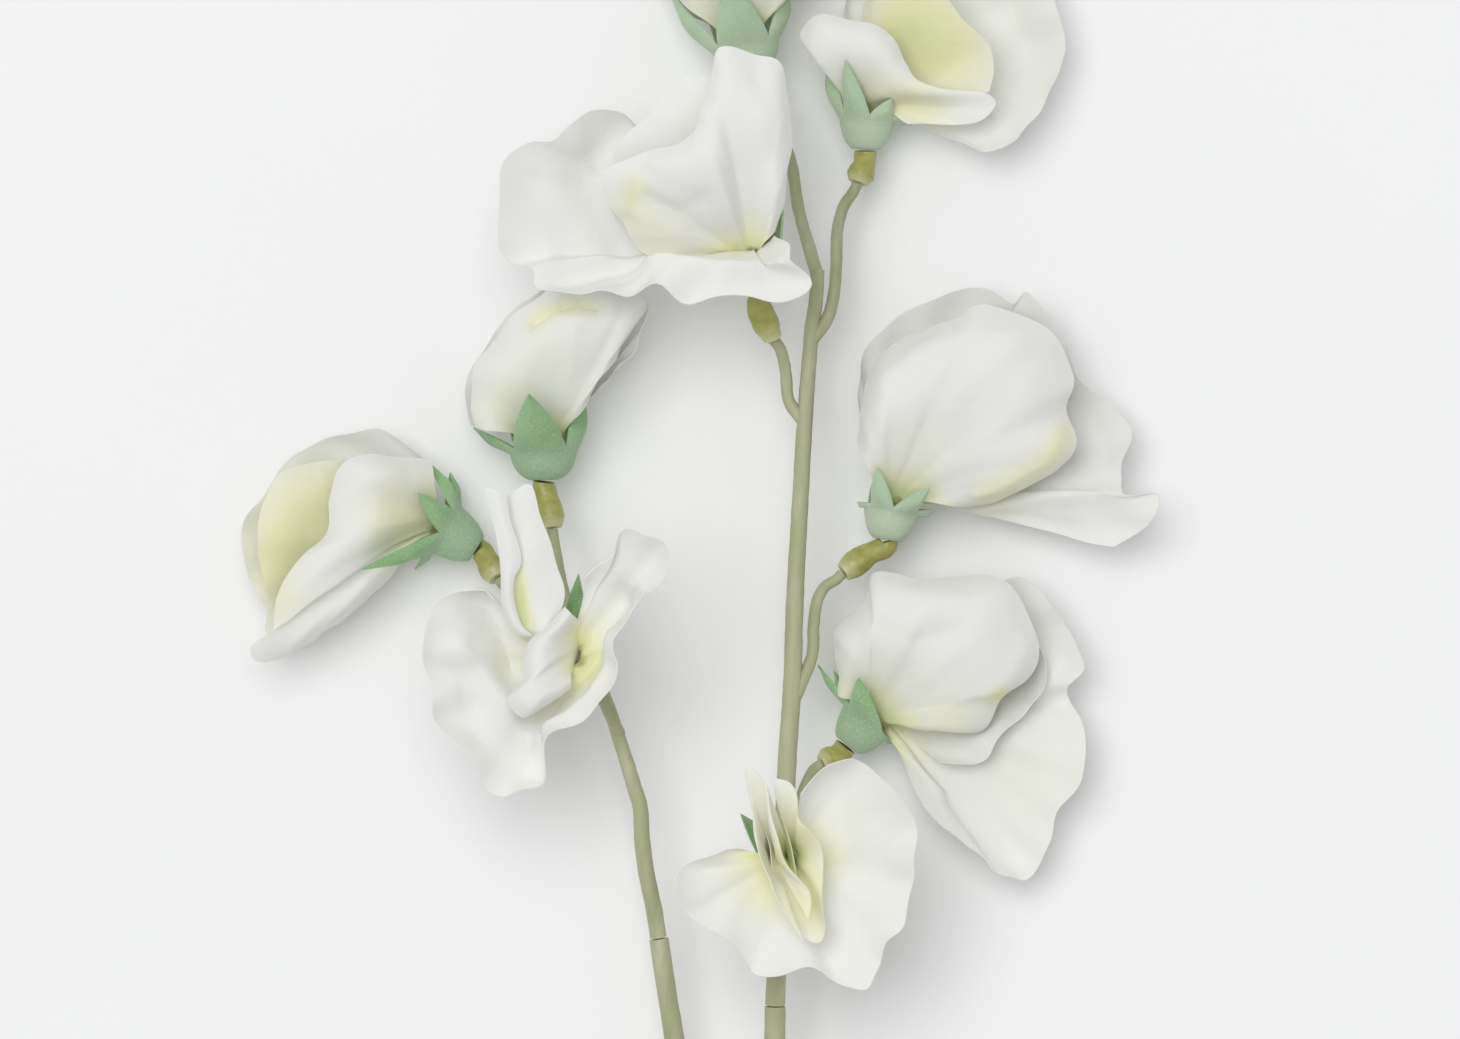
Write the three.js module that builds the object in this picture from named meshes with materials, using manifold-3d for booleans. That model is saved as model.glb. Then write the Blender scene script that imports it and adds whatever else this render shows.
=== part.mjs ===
// A cut spray of artificial sweet peas, lying on a surface. Two slender branches leave one
// lower stem at a fork and carry nine blooms between them. Millimetres, +Z up.
//
// Every bloom has the same pieces: a collar (plastic sleeve) on the end of its flower stalk, a
// calyx (green cup with five pointed sepals), a standard (the broad wavy back petal), a pair of
// rounded wings and a small keel between them. Petals are die-cut fabric, drawn as sheets of even
// thickness that fan out from a narrow claw in the calyx.
//
// Places are given on the layout sheet: x to the right and y down, from the sheet's top left
// corner, and z up. The whole is then shifted so that the middle of its box is the origin.
import * as THREE from "three";
import { mergeVertices } from "three/addons/utils/BufferGeometryUtils.js";
import Module from "manifold-3d";

const wasm = await Module();
wasm.setup();

// The driving dimensions.
const SHEET_MID_X = 116.7; // the middle of the spray's box on the layout sheet
const SHEET_MID_Y = 181.6;
const PETAL_THICKNESS = 0.6;
const SEPAL_THICKNESS = 0.7;
const SEAT_GAP = 0.3; // between a claw and the floor of its calyx, and at each face of a sleeve
const CALYX_FOOT_RADIUS = 2.3;
const SEPAL_BOW = 0.09; // how far a sepal bows out, for its length
const NOTCH_HEIGHT = 1; // the calyx wall between two sepals, above the calyx floor
const NOTCH_FLARE = 1.05; // its radius there, for that of the wall
const CALYX_SWELL_HEIGHT = 0.35; // how far up its depth a calyx swells out
const CALYX_SWELL_RADIUS = 0.8; // its radius there, for that of the wall
const FLANK_SPREAD = 0.2; // how far a sepal's flanks stand out halfway up, for its half width
const COLLAR_RADIUS = 1.9;
const COLLAR_KNOB_RADIUS = 2.3;
const STALK_RADIUS = 1; // a flower stalk
const STEM_SIDES = 8;
const STALK_STEP = 5; // between two rings along a stem
const COLLAR_STEP = 2;
const SHOULDER = 0.62; // how far along a petal its swell pulls
const SWELL_PULL = 2.25; // how hard, so that the sheet rises by the swell
const EVENING_PASSES = 14; // rounds of averaging a sheet's normals
const RIBBON_PARTS = 2; // rows of a ribbon between two places of its edge
const RIBBON_RISE_ROWS = 3; // rows over which a ribbon takes up its bow
const NEARNESS = 0.0001; // points nearer than this are one

const COLOURS = { petal: "#f1f1ec", keel: "#dfe8c4", calyx: "#86ab88", collar: "#a9a552", stem: "#9a9f72" };

function place([x, y, z]) {
  return new THREE.Vector3(x - SHEET_MID_X, SHEET_MID_Y - y, z);
}

// Where on the layout sheet a point lies.
function sheetPlace({ x, y, z }) {
  return [x + SHEET_MID_X, SHEET_MID_Y - y, z];
}

// A direction on the layout sheet.
function heading([x, y, z]) {
  return new THREE.Vector3(x, -y, z);
}

// ---- solids from grids of points ----

function geometryOf(points, triangles) {
  const geometry = new THREE.BufferGeometry();
  geometry.setAttribute("position", new THREE.Float32BufferAttribute(points.flatMap((p) => p.toArray()), 3));
  geometry.setIndex(triangles);
  return geometry;
}

// The signed volume says which way the faces point. Faces that point in are turned round.
function facingOut(geometry) {
  const position = geometry.getAttribute("position");
  const index = Array.from(geometry.index.array);
  const corner = (k) => new THREE.Vector3().fromBufferAttribute(position, index[k]);
  let volume = 0;
  for (let k = 0; k < index.length; k += 3) {
    volume += corner(k).dot(corner(k + 1).cross(corner(k + 2)));
  }
  if (volume < 0) {
    for (let k = 0; k < index.length; k += 3) {
      [index[k + 1], index[k + 2]] = [index[k + 2], index[k + 1]];
    }
    geometry.setIndex(index);
  }
  return geometry;
}

// The unit normal of a grid of points at column i, row j.
function normalAt(grid, i, j) {
  const before = grid[Math.max(i - 1, 0)];
  const after = grid[Math.min(i + 1, grid.length - 1)];
  const column = grid[i];
  const along = column[Math.min(j + 1, column.length - 1)].clone().sub(column[Math.max(j - 1, 0)]);
  return after[j].clone().sub(before[j]).cross(along).normalize();
}

// Each normal of a grid, averaged with those next to it, so that a thick sheet stays clear of
// itself where it gathers at the claw.
function evened(normals) {
  return normals.map((column, i) => column.map((normal, j) => {
    const sum = normal.clone();
    for (const [a, b] of [[i - 1, j], [i + 1, j], [i, j - 1], [i, j + 1]]) {
      const neighbour = normals[a]?.[b];
      if (neighbour) sum.add(neighbour);
    }
    return sum.normalize();
  }));
}

// A sheet of even thickness about a grid of points. Both faces are split alike.
function sheet(grid, thickness) {
  let normals = grid.map((column, i) => column.map((_, j) => normalAt(grid, i, j)));
  for (let pass = 0; pass < EVENING_PASSES; pass += 1) normals = evened(normals);
  const face = (side) => grid.map((column, i) => (
    column.map((p, j) => p.clone().addScaledVector(normals[i][j], side * thickness))
  ));
  return skin(face(0.5), face(-0.5));
}

// The skin of a sheet: its two faces and its rim.
function skin(upper, lower) {
  const columns = upper.length;
  const rows = upper[0].length;
  const top = (i, j) => i * rows + j;
  const bottom = (i, j) => columns * rows + i * rows + j;
  const triangles = [];
  for (let i = 0; i < columns - 1; i += 1) {
    for (let j = 0; j < rows - 1; j += 1) {
      triangles.push(top(i, j), top(i, j + 1), top(i + 1, j + 1));
      triangles.push(top(i, j), top(i + 1, j + 1), top(i + 1, j));
      triangles.push(bottom(i, j), bottom(i + 1, j + 1), bottom(i, j + 1));
      triangles.push(bottom(i, j), bottom(i + 1, j), bottom(i + 1, j + 1));
    }
  }
  const rim = [];
  for (let i = 0; i < columns - 1; i += 1) rim.push([i, 0]);
  for (let j = 0; j < rows - 1; j += 1) rim.push([columns - 1, j]);
  for (let i = columns - 1; i > 0; i -= 1) rim.push([i, rows - 1]);
  for (let j = rows - 1; j > 0; j -= 1) rim.push([0, j]);
  rim.forEach(([i, j], k) => {
    const [a, b] = rim[(k + 1) % rim.length];
    triangles.push(top(i, j), top(a, b), bottom(a, b));
    triangles.push(top(i, j), bottom(a, b), bottom(i, j));
  });
  return facingOut(geometryOf([...upper.flat(), ...lower.flat()], triangles));
}

// A round rod through places on the sheet, with a radius at each of them.
function rod(places, radii, sides = STEM_SIDES, step = STALK_STEP) {
  const curve = new THREE.CatmullRomCurve3(places.map(place), false, "centripetal");
  const steps = Math.max(places.length - 1, Math.round(curve.getLength() / step));
  const frames = curve.computeFrenetFrames(steps, false);
  const points = [];
  for (let i = 0; i <= steps; i += 1) {
    const t = curve.getUtoTmapping(i / steps) * (radii.length - 1);
    const k = Math.min(Math.floor(t), radii.length - 2);
    const radius = THREE.MathUtils.lerp(radii[k], radii[k + 1], t - k);
    const centre = curve.getPointAt(i / steps);
    for (let s = 0; s < sides; s += 1) {
      const angle = (2 * Math.PI * s) / sides;
      points.push(centre.clone()
        .addScaledVector(frames.normals[i], radius * Math.cos(angle))
        .addScaledVector(frames.binormals[i], radius * Math.sin(angle)));
    }
  }
  const triangles = [];
  for (let i = 0; i < steps; i += 1) {
    for (let s = 0; s < sides; s += 1) {
      const a = i * sides + s;
      const b = i * sides + ((s + 1) % sides);
      triangles.push(a, b, b + sides, a, b + sides, a + sides);
    }
  }
  for (let s = 1; s < sides - 1; s += 1) {
    triangles.push(0, s + 1, s, steps * sides, steps * sides + s, steps * sides + s + 1);
  }
  return facingOut(geometryOf(points, triangles));
}

// ---- joining and cutting ----

function solidOf(geometry) {
  const merged = mergeVertices(geometry, NEARNESS);
  return new wasm.Manifold(new wasm.Mesh({
    numProp: 3,
    vertProperties: new Float32Array(merged.getAttribute("position").array),
    triVerts: new Uint32Array(merged.index.array),
  }));
}

function geometryFrom(solid) {
  const mesh = solid.getMesh();
  const geometry = new THREE.BufferGeometry();
  geometry.setAttribute("position", new THREE.BufferAttribute(new Float32Array(mesh.vertProperties), 3));
  geometry.setIndex(new THREE.BufferAttribute(new Uint32Array(mesh.triVerts), 1));
  return geometry;
}

function joined(geometries) {
  return geometryFrom(wasm.Manifold.union(geometries.map(solidOf)));
}

// ---- the pieces of a bloom ----

// The calyx's own directions: out of the cup, across it and up through its layers.
function directionsOf({ calyx, lift }) {
  const foot = place(calyx.foot);
  const floor = place(calyx.floor);
  foot.z += lift;
  floor.z += lift;
  const out = floor.clone().sub(foot).normalize();
  const up = heading(calyx.up);
  up.addScaledVector(out, -up.dot(out)).normalize();
  return { foot, floor, out, up, across: up.clone().cross(out) };
}

// A smooth value through four neighbours, for t from 0 to 1 between the middle two.
function smooth(a, b, c, d, t) {
  return b + 0.5 * t * (c - a + t * (2 * a - 5 * b + 4 * c - d + t * (3 * (b - c) + d - a)));
}

// Points along an edge: every given one, and more between them where they lie far apart.
function edgePoints(edge, columns) {
  const lengths = edge.slice(1).map((p, k) => Math.hypot(...[0, 1, 2].map((n) => p[n] - edge[k][n])));
  const spacing = lengths.reduce((a, b) => a + b) / columns;
  const found = [];
  lengths.forEach((length, k) => {
    const parts = Math.max(1, Math.round(length / spacing));
    const near = [edge[Math.max(k - 1, 0)], edge[k], edge[k + 1], edge[Math.min(k + 2, edge.length - 1)]];
    for (let part = 0; part < parts; part += 1) {
      found.push(edge[k].map((_, n) => smooth(...near.map((p) => p[n]), part / parts)));
    }
  });
  found.push(edge.at(-1));
  return found;
}

// A petal fans out from its claw in the calyx to its edge. The claw is a short straight row, or,
// where the petal spreads all round, an arc of a ring that each part of the edge faces. Each row
// of the edge is x, y, z and swell: how far the sheet bows up between claw and edge.
function petal(bloom, { seat, turn = 0, width, ring, reach, edge, columns, rows }) {
  const { floor, out, up, across } = directionsOf(bloom);
  const angle = THREE.MathUtils.degToRad(turn);
  const row = across.clone().multiplyScalar(Math.cos(angle)).addScaledVector(up, Math.sin(angle));
  const root = floor.clone().addScaledVector(across, seat[0]).addScaledVector(up, seat[1]);
  root.addScaledVector(out, SEAT_GAP);
  const points = edgePoints(edge, columns);
  const ends = points.map(([x, y, z]) => place([x, y, z + bloom.lift]));
  if (ends.at(-1).clone().sub(ends[0]).dot(row) < 0) row.negate();
  const grid = ends.map((end, k) => {
    const claw = root.clone();
    if (ring) {
      const toward = end.clone().sub(root);
      claw.add(toward.addScaledVector(out, -toward.dot(out)).setLength(ring));
    } else {
      claw.addScaledVector(row, width * (k / (ends.length - 1) - 0.5));
    }
    const shoulder = claw.clone().lerp(end, SHOULDER);
    shoulder.z += SWELL_PULL * points[k][3];
    const ray = new THREE.CubicBezierCurve3(claw, claw.clone().addScaledVector(out, reach), shoulder, end);
    return Array.from({ length: rows + 1 }, (_, j) => ray.getPoint(j / rows));
  });
  return sheet(grid, PETAL_THICKNESS);
}

// A narrow petal like a ribbon, from its claw along two edges of as many places each.
function ribbon(bloom, { seat, turn = 0, width, left, right, bow, columns }) {
  const { floor, out, up, across } = directionsOf(bloom);
  const angle = THREE.MathUtils.degToRad(turn);
  const row = across.clone().multiplyScalar(Math.cos(angle)).addScaledVector(up, Math.sin(angle));
  const root = floor.clone().addScaledVector(across, seat[0]).addScaledVector(up, seat[1]);
  root.addScaledVector(out, SEAT_GAP);
  const edges = [left, right].map((edge, side) => {
    const claw = root.clone().addScaledVector(row, width * (side - 0.5));
    const lifted = edge.map(([x, y, z]) => place([x, y, z + bloom.lift]));
    const curve = new THREE.CatmullRomCurve3([claw, claw.clone().add(out), ...lifted]);
    const steps = RIBBON_PARTS * (edge.length + 1);
    return Array.from({ length: steps + 1 }, (_, j) => curve.getPoint(j / steps));
  });
  const grid = Array.from({ length: columns + 1 }, (_, i) => edges[0].map((start, j) => {
    const p = start.clone().lerp(edges[1][j], i / columns);
    p.z += bow * Math.sin((Math.PI * i) / columns) * Math.min(1, j / RIBBON_RISE_ROWS);
    return p;
  }));
  return sheet(grid, PETAL_THICKNESS);
}

const WALL_ROW = 2; // the row of a calyx's points that stands level with its floor

// A calyx: a small solid foot that opens into a cup with five pointed sepals.
function calyx(bloom) {
  const { foot, floor, out, up, across } = directionsOf(bloom);
  const depth = floor.distanceTo(foot);
  const radius = bloom.calyx.radius;
  const ring = (height, r, angle) => foot.clone()
    .addScaledVector(out, height)
    .addScaledVector(across, r * Math.cos(angle))
    .addScaledVector(up, r * Math.sin(angle));
  const sepals = bloom.calyx.tips.map(([x, y, z]) => {
    const tip = place([x, y, z + bloom.lift]);
    const from = tip.clone().sub(foot);
    return { tip, angle: Math.atan2(from.dot(up), from.dot(across)) };
  });
  sepals.sort((a, b) => a.angle - b.angle);
  const grid = [];
  const inwards = [];
  const column = (angle, end, middle, tip) => {
    const wall = ring(depth, radius, angle);
    const bulge = wall.clone().sub(floor).normalize();
    const halfway = wall.clone().lerp(end, 0.5);
    halfway.addScaledVector(bulge, SEPAL_BOW * end.distanceTo(wall));
    const swell = ring(CALYX_SWELL_HEIGHT * depth, CALYX_SWELL_RADIUS * radius, angle);
    grid.push([ring(0, CALYX_FOOT_RADIUS, angle), swell, wall, halfway, end]);
    const centre = ring(depth, radius, middle);
    const side = centre.clone().sub(floor).normalize();
    const along = tip.clone().sub(centre);
    const inward = side.clone().multiplyScalar(-along.dot(out)).addScaledVector(out, along.dot(side));
    inwards.push(inward.normalize());
  };
  sepals.forEach(({ tip, angle }, k) => {
    const next = sepals[(k + 1) % sepals.length].angle + (k + 1 === sepals.length ? 2 * Math.PI : 0);
    const previous = sepals.at(k - 1).angle - (k === 0 ? 2 * Math.PI : 0);
    const notches = [(previous + angle) / 2, (angle + next) / 2];
    const middle = ring(depth + NOTCH_HEIGHT, radius, angle);
    const flank = (notch) => (
      notch.clone().lerp(tip, 0.5).addScaledVector(notch.clone().sub(middle), FLANK_SPREAD)
    );
    const [left, right] = notches.map((notch) => ring(depth + NOTCH_HEIGHT, radius * NOTCH_FLARE, notch));
    column((notches[0] + angle) / 2, flank(left), angle, tip);
    column(angle, tip, angle, tip);
    column((notches[1] + angle) / 2, flank(right), angle, tip);
    column(notches[1], right, notches[1], right);
  });
  return cup(grid, inwards, foot, floor);
}

// A cup from columns of points that run from its foot over the top of its wall to its rim, with
// the way in from each column's outer face.
function cup(grid, inwards, foot, floor) {
  const columns = grid.length;
  const rows = grid[0].length;
  const inside = grid.map((column, i) => column.map((p) => (
    p.clone().addScaledVector(inwards[i], SEPAL_THICKNESS)
  )));
  grid.forEach((column, i) => {
    const wall = column[WALL_ROW];
    inside[i][WALL_ROW] = wall.clone().lerp(floor, SEPAL_THICKNESS / wall.distanceTo(floor));
  });
  const points = [...grid.flat(), ...inside.flat(), foot, floor];
  const outer = (i, j) => (i % columns) * rows + j;
  const inner = (i, j) => columns * rows + (i % columns) * rows + j;
  const footCentre = points.length - 2;
  const floorCentre = points.length - 1;
  const used = [];
  for (let i = 0; i < columns; i += 1) {
    for (let j = 0; j < rows - 1; j += 1) {
      used.push(outer(i, j), outer(i, j + 1), outer(i + 1, j + 1));
      used.push(outer(i, j), outer(i + 1, j + 1), outer(i + 1, j));
    }
    for (let j = WALL_ROW; j < rows - 1; j += 1) {
      used.push(inner(i, j), inner(i + 1, j + 1), inner(i, j + 1));
      used.push(inner(i, j), inner(i + 1, j), inner(i + 1, j + 1));
    }
    used.push(outer(i, rows - 1), inner(i, rows - 1), inner(i + 1, rows - 1));
    used.push(outer(i, rows - 1), inner(i + 1, rows - 1), outer(i + 1, rows - 1));
    used.push(footCentre, outer(i, 0), outer(i + 1, 0));
    used.push(floorCentre, inner(i + 1, WALL_ROW), inner(i, WALL_ROW));
  }
  const places = [...new Set(used)];
  const renumbered = new Map(places.map((old, k) => [old, k]));
  return facingOut(geometryOf(places.map((k) => points[k]), used.map((k) => renumbered.get(k))));
}

// ---- the nine blooms ----
// lift is the height of the calyx floor. Heights in a bloom are measured from there. A calyx has
// its foot, its floor, the direction up through its layers, its radius and its sepals' tips.

const BLOOMS = [
  {
    name: "bloom_1", // low on the left branch, seen from its side, facing left
    lift: 8.2,
    calyx: {
      foot: [79.3, 91.5, 0], floor: [74.4, 88.4, 0], up: [0, 0, 1], radius: 4.6,
      tips: [[71.7, 77.3, 2.5], [75, 78.7, -3], [69.7, 82.2, 9], [60.3, 95, 15], [69, 95, -7]],
    },
    standard: {
      seat: [0, -1.9], width: 4, reach: 5, columns: 17, rows: 5,
      edge: [[70.8, 76.6, -3, -4], [67.3, 73.8, -1, -6], [63, 71.5, 1, -7], [58.3, 72, 2, -8],
        [51.3, 74.3, 4, -9], [46.8, 78, 5, -9], [43.3, 82.8, 6, -9], [40.4, 86.7, 6, -9],
        [40.4, 93.3, 5, -9], [42.5, 98.3, 3, -8], [44.3, 102, 1, -7], [44.4, 105.6, 0, -6],
        [50, 106, -2, -5], [57.5, 100.7, -3, -4]],
    },
    wing_near: {
      seat: [0, 1], width: 5, reach: 5, columns: 17, rows: 4,
      edge: [[71.5, 76.9, 3, 3], [67.3, 76.2, 5, 4], [59.5, 76.2, 7, 6], [56.8, 77.7, 8, 6],
        [55.7, 80.2, 8, 6], [55.5, 84.7, 8, 6], [54.2, 88.7, 9, 6], [50.8, 92.3, 10, 6],
        [47.5, 96.3, 10, 6], [45.7, 100.7, 9, 6], [45, 105.3, 8, 6], [41.7, 107.7, 6, 6],
        [42.8, 110.2, 4, 6], [47.5, 109.3, 3, 6], [54.2, 105.3, 2, 5], [59.7, 100.8, 1, 4],
        [64.2, 97.2, 0, 2]],
    },
    wing_far: {
      seat: [0, -1], width: 5, reach: 4, columns: 12, rows: 4,
      edge: [[69.7, 78.5, -1, -2], [62.5, 76.7, 1, -3], [55, 76.7, 3, -4], [48.3, 78, 6.5, -5],
        [45.8, 80.3, 7.5, -5], [43.7, 84.7, 8, -5], [42.8, 89.2, 7.5, -5], [43.7, 95.8, 5.5, -5],
        [45, 100, 3, -4], [48.3, 101.7, 1, -3], [56.7, 98.3, 0, -2], [64.2, 95, -1, -1]],
    },
    keel: {
      seat: [0, 0], width: 4, reach: 4, columns: 7, rows: 3,
      edge: [[66, 82, 1, 1], [60, 82, 3, 1], [57, 87, 4, 1], [58, 92, 3, 1], [64, 92, 1, 1]],
    },
    collar: [[82.9, 96.4, 10.5]],
    stalk: [[84.3, 98, 11.4], [88, 101.5, 13.6], [94, 107.5, 15.9], [99, 113.5, 16.5]],
  },
  {
    name: "bloom_2", // above it, an upright half-open bloom
    lift: 11.5,
    calyx: {
      foot: [90.6, 80, 0], floor: [90.5, 75.6, 0], up: [0, 0, 1], radius: 5.6,
      tips: [[78.7, 71.3, -3.5], [88.2, 65.8, 19.5], [97, 64.2, 0], [96, 67, -7.5], [84, 68, -11.5]],
    },
    standard: {
      seat: [0, -1.9], width: 5, reach: 5, columns: 14, rows: 5,
      edge: [[78.6, 70.6, -1.5, -3], [77.2, 65.3, -1.5, -5], [79.7, 59.5, -0.5, -7],
        [84.2, 53.3, -0.5, -8], [89, 48.7, -1.5, -9], [95.8, 45.8, -1.5, -9], [101.7, 45.5, 0.5, -9],
        [106, 49, 3.5, -8], [108.7, 51.3, 4.5, -7], [106.7, 54.7, 4.5, -7], [103.7, 59.7, 2.5, -6],
        [100, 64, 0.5, -4], [98.3, 66, -1, -3]],
    },
    wing_near: {
      seat: [0, 1], width: 6, reach: 5, columns: 13, rows: 4,
      edge: [[79.2, 71.2, 4, 3], [78.2, 67, 4, 4], [79.5, 62.5, 4, 6], [82, 57.8, 5, 7],
        [85, 53.2, 6, 8], [88.7, 54, 8, 8], [91.7, 52.5, 9, 8], [95.8, 51.2, 9, 8], [100, 51.5, 9, 8],
        [102, 52, 9, 8], [101, 57.5, 8, 7], [100.3, 62, 7, 5], [98.2, 67, 6, 3]],
    },
    wing_far: {
      seat: [0, -1], width: 5, reach: 4, columns: 9, rows: 4,
      edge: [[80.5, 69, -1, -2], [80.5, 62, 0, -4], [84, 55, 1, -5], [90, 50.5, 1, -6],
        [97, 49, 2, -5], [102.5, 51.5, 3, -5], [103, 57, 2, -4], [99, 64, 1, -2]],
    },
    keel: {
      seat: [0, 0], width: 4, reach: 4, columns: 7, rows: 3,
      edge: [[87, 66, 1, 1], [86, 60, 2, 1], [90, 56, 2, 1], [95, 57, 2, 1], [95, 65, 1, 1]],
    },
    collar: [[91.4, 84, 12.1], [92, 88, 12.8]],
    stalk: [[92.3, 90.5, 13.2], [94, 99, 15], [97, 107.5, 16.2], [100.6, 115, 16.5]],
  },
  {
    name: "bloom_3", // at the front of the left branch, open towards the viewer
    lift: 32.5,
    calyx: {
      foot: [97, 110.2, -4.6], floor: [95.8, 108.9, -0.6], up: [0, -1, 0], radius: 4.6,
      tips: [[96.6, 95.5, 6], [100.9, 105.2, 1.9], [99.7, 112.3, 3.8], [92.9, 114.4, 1.4],
        [89.2, 107.2, -0.9]],
    },
    standard: {
      seat: [0, -0.9], ring: 2.9, reach: 5.5, columns: 24, rows: 5,
      edge: [[82.2, 101.5, 8.5, -1.6], [77.5, 99.8, 9.5, -2], [73, 100.8, 10.5, -2],
        [70.7, 108.3, 9.5, -2], [72.3, 113.7, 7.5, -2], [73, 118.7, 8.5, -2], [75.7, 123, 6.5, -1.6],
        [79.3, 126, 5.5, -1.6], [80.7, 130.8, 4.5, -1.2], [84.2, 132.7, 3.5, -0.8],
        [87.8, 130.5, 4.5, -1.2], [91.3, 124.7, 6.5, -1.6], [96.3, 120.3, 8.5, -1.6],
        [100.8, 116.2, 10.5, -1.6], [102.8, 111.3, 11.5, -2], [103.3, 106.7, 12.5, -2],
        [107.5, 100, 14.5, -2], [111.3, 91.3, 15.5, -2], [107.5, 88.7, 15.5, -1.6],
        [104.5, 88.3, 14.5, -1.6], [101.2, 93.7, 11.5, -1.2], [98, 96.7, 9.5, -1.2]],
    },
    wing_near: {
      seat: [-0.8, 1.2], width: 3, bow: 1, columns: 4,
      left: [[86.7, 106.2, 6], [84, 100.8, 7.5], [83.5, 95, 9.5], [82.7, 87.5, 11.5],
        [81.2, 81.7, 12.5], [82.4, 80.7, 12.5]],
      right: [[89, 105.2, 7.2], [86.6, 100.8, 8.5], [86.2, 96, 10.5], [86.3, 90, 11.5],
        [85.6, 84, 12.5], [84.4, 81, 12.5]],
    },
    wing_far: {
      seat: [0.2, 2.4], turn: 12, width: 3, reach: 5, columns: 12, rows: 4,
      edge: [[90.8, 105.2, 2, 1], [88.3, 99.2, 4, 2], [88, 94.2, 7, 2], [86.5, 90.5, 8, 2],
        [85.7, 85, 8.5, 2], [86.7, 81.2, 9, 2], [88.7, 81.3, 9, 2], [89.8, 85.3, 8, 2],
        [92, 90.8, 7, 2], [94.2, 96.7, 5, 1]],
    },
    keel: {
      seat: [0.2, -0.3], ring: 0.9, reach: 3, columns: 11, rows: 4,
      edge: [[90, 104.2, 11.3, 2], [93.3, 101, 10.3, 2], [95.8, 106.7, 12.3, 2], [96, 111.3, 13.3, 3],
        [94.7, 115.3, 13.3, 3], [90.8, 118, 13.3, 3], [87.5, 119.5, 13.3, 3], [85, 116.7, 13.3, 3],
        [87.8, 113, 13.3, 3], [87.7, 107.5, 12.3, 2]],
    },
    collar: [[98.6, 112.6, 24.1]],
    stalk: [[99.3, 114, 22.5], [100.6, 116.8, 19.9], [103.2, 122.5, 16.5]],
  },
  {
    name: "bloom_4", // the largest, high on the right branch, seen from the front and a little below
    lift: 29.5,
    calyx: {
      foot: [127.2, 45.4, -4.6], floor: [126.2, 42.8, -1.2], up: [0, -1, 0], radius: 4.2,
      tips: [[130.4, 33.5, 3], [131, 44.6, 2.9], [126.7, 47.6, 2.8], [120.1, 45.1, -0.9],
        [122.1, 37.9, -3.6]],
    },
    standard: {
      seat: [0, -0.8], ring: 2.3, reach: 3, columns: 22, rows: 5,
      edge: [[105.7, 21.8, 1, -4], [99.7, 19, 2, -5], [95.3, 20.3, 2, -5], [91.7, 23.2, 2, -5],
        [88, 23.8, 3, -5], [84.2, 27.2, 4, -5], [83.3, 33.3, 4, -5], [83, 40.5, 3, -4],
        [85.3, 43.8, 2, -4], [88.8, 45, 3, -3], [89.7, 48.3, 4, -3], [96.7, 49, 5, -2],
        [108.3, 49, 6, -1], [115, 50.7, 6, 0], [123.3, 50, 6, 0], [131.7, 50.7, 7, 0],
        [135, 48.3, 8, 0], [134.3, 44.7, 8, 0], [132.8, 40.3, 7, 0], [129.2, 39.3, 5, 0]],
    },
    wing_near: {
      seat: [0.6, 0.4], width: 4, reach: 4, columns: 20, rows: 5,
      edge: [[106.7, 42, 4, 2], [103.7, 37.5, 6, 4], [103.7, 33.8, 8, 5], [108.7, 29.3, 12, 6],
        [113.7, 26.2, 13, 7], [116.7, 23.8, 13, 8], [117.3, 20.3, 13, 8], [118.5, 16, 13, 8],
        [118.4, 12.8, 13, 8], [118.8, 9.5, 13, 8], [121.2, 8.3, 13, 8], [129.7, 10.8, 11, 8],
        [131.7, 16.7, 9, 8], [132.2, 23.3, 7, 7], [131, 30.8, 6, 5]],
    },
    wing_far: {
      seat: [-0.4, 1.1], width: 2.6, reach: 5, columns: 14, rows: 4,
      edge: [[108.3, 41.5, 2, 0], [105, 40, 3, 1], [102, 35.8, 5, 2], [100.7, 31.3, 6, 2],
        [100.7, 28.7, 7, 3], [104.2, 24.2, 8, 3], [108, 19.5, 9, 3], [111.7, 15, 9, 3],
        [115, 12.8, 9, 3], [118, 13.7, 9, 3]],
    },
    keel: {
      seat: [0, 2.6], width: 3, reach: 4, columns: 7, rows: 3,
      edge: [[118, 40, 0.5, 0], [115, 33, 1, 0], [117, 27, 1.5, 0], [121, 28, 1.5, 0]],
    },
    collar: [[126.5, 50.8, 21.5], [128.7, 56.3, 19]],
    stalk: [[130.2, 58.5, 17.7], [131, 62.3, 16.5], [131.5, 66.8, 16.1], [134.1, 70.4, 16.5]],
  },
  {
    name: "bloom_5", // the topmost, upright, its calyx behind the tip of the bloom below it
    lift: 11.5,
    calyx: {
      foot: [125.3, 12, 0], floor: [124.3, 7.7, 0], up: [0, 0, 1], radius: 5.6,
      tips: [[111.7, -1, -1.5], [121, -3.5, 13.5], [131.5, -3, -0.5], [129, -2, -7.5], [117, -3, -11]],
    },
    standard: {
      seat: [0, -1.9], width: 5, reach: 5, columns: 12, rows: 5,
      edge: [[112.5, 1, -2, -3], [108, -8, 0, -5], [109, -17, 1, -7], [115, -25, 2, -8],
        [124, -28.3, 1, -9], [133, -26, 2, -8], [140, -19, 3, -7], [140, -10, 2, -5], [133, -1, 0, -3]],
    },
    wing_near: {
      seat: [0, 1], width: 6, reach: 4, columns: 11, rows: 4,
      edge: [[113.5, 0, 2, 3], [110.5, -7, 3, 5], [112, -14, 4, 7], [118, -20, 5, 8],
        [126, -21, 5, 8], [133, -18, 5, 7], [136.5, -10, 4, 5], [131.5, -1, 2, 3]],
    },
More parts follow.
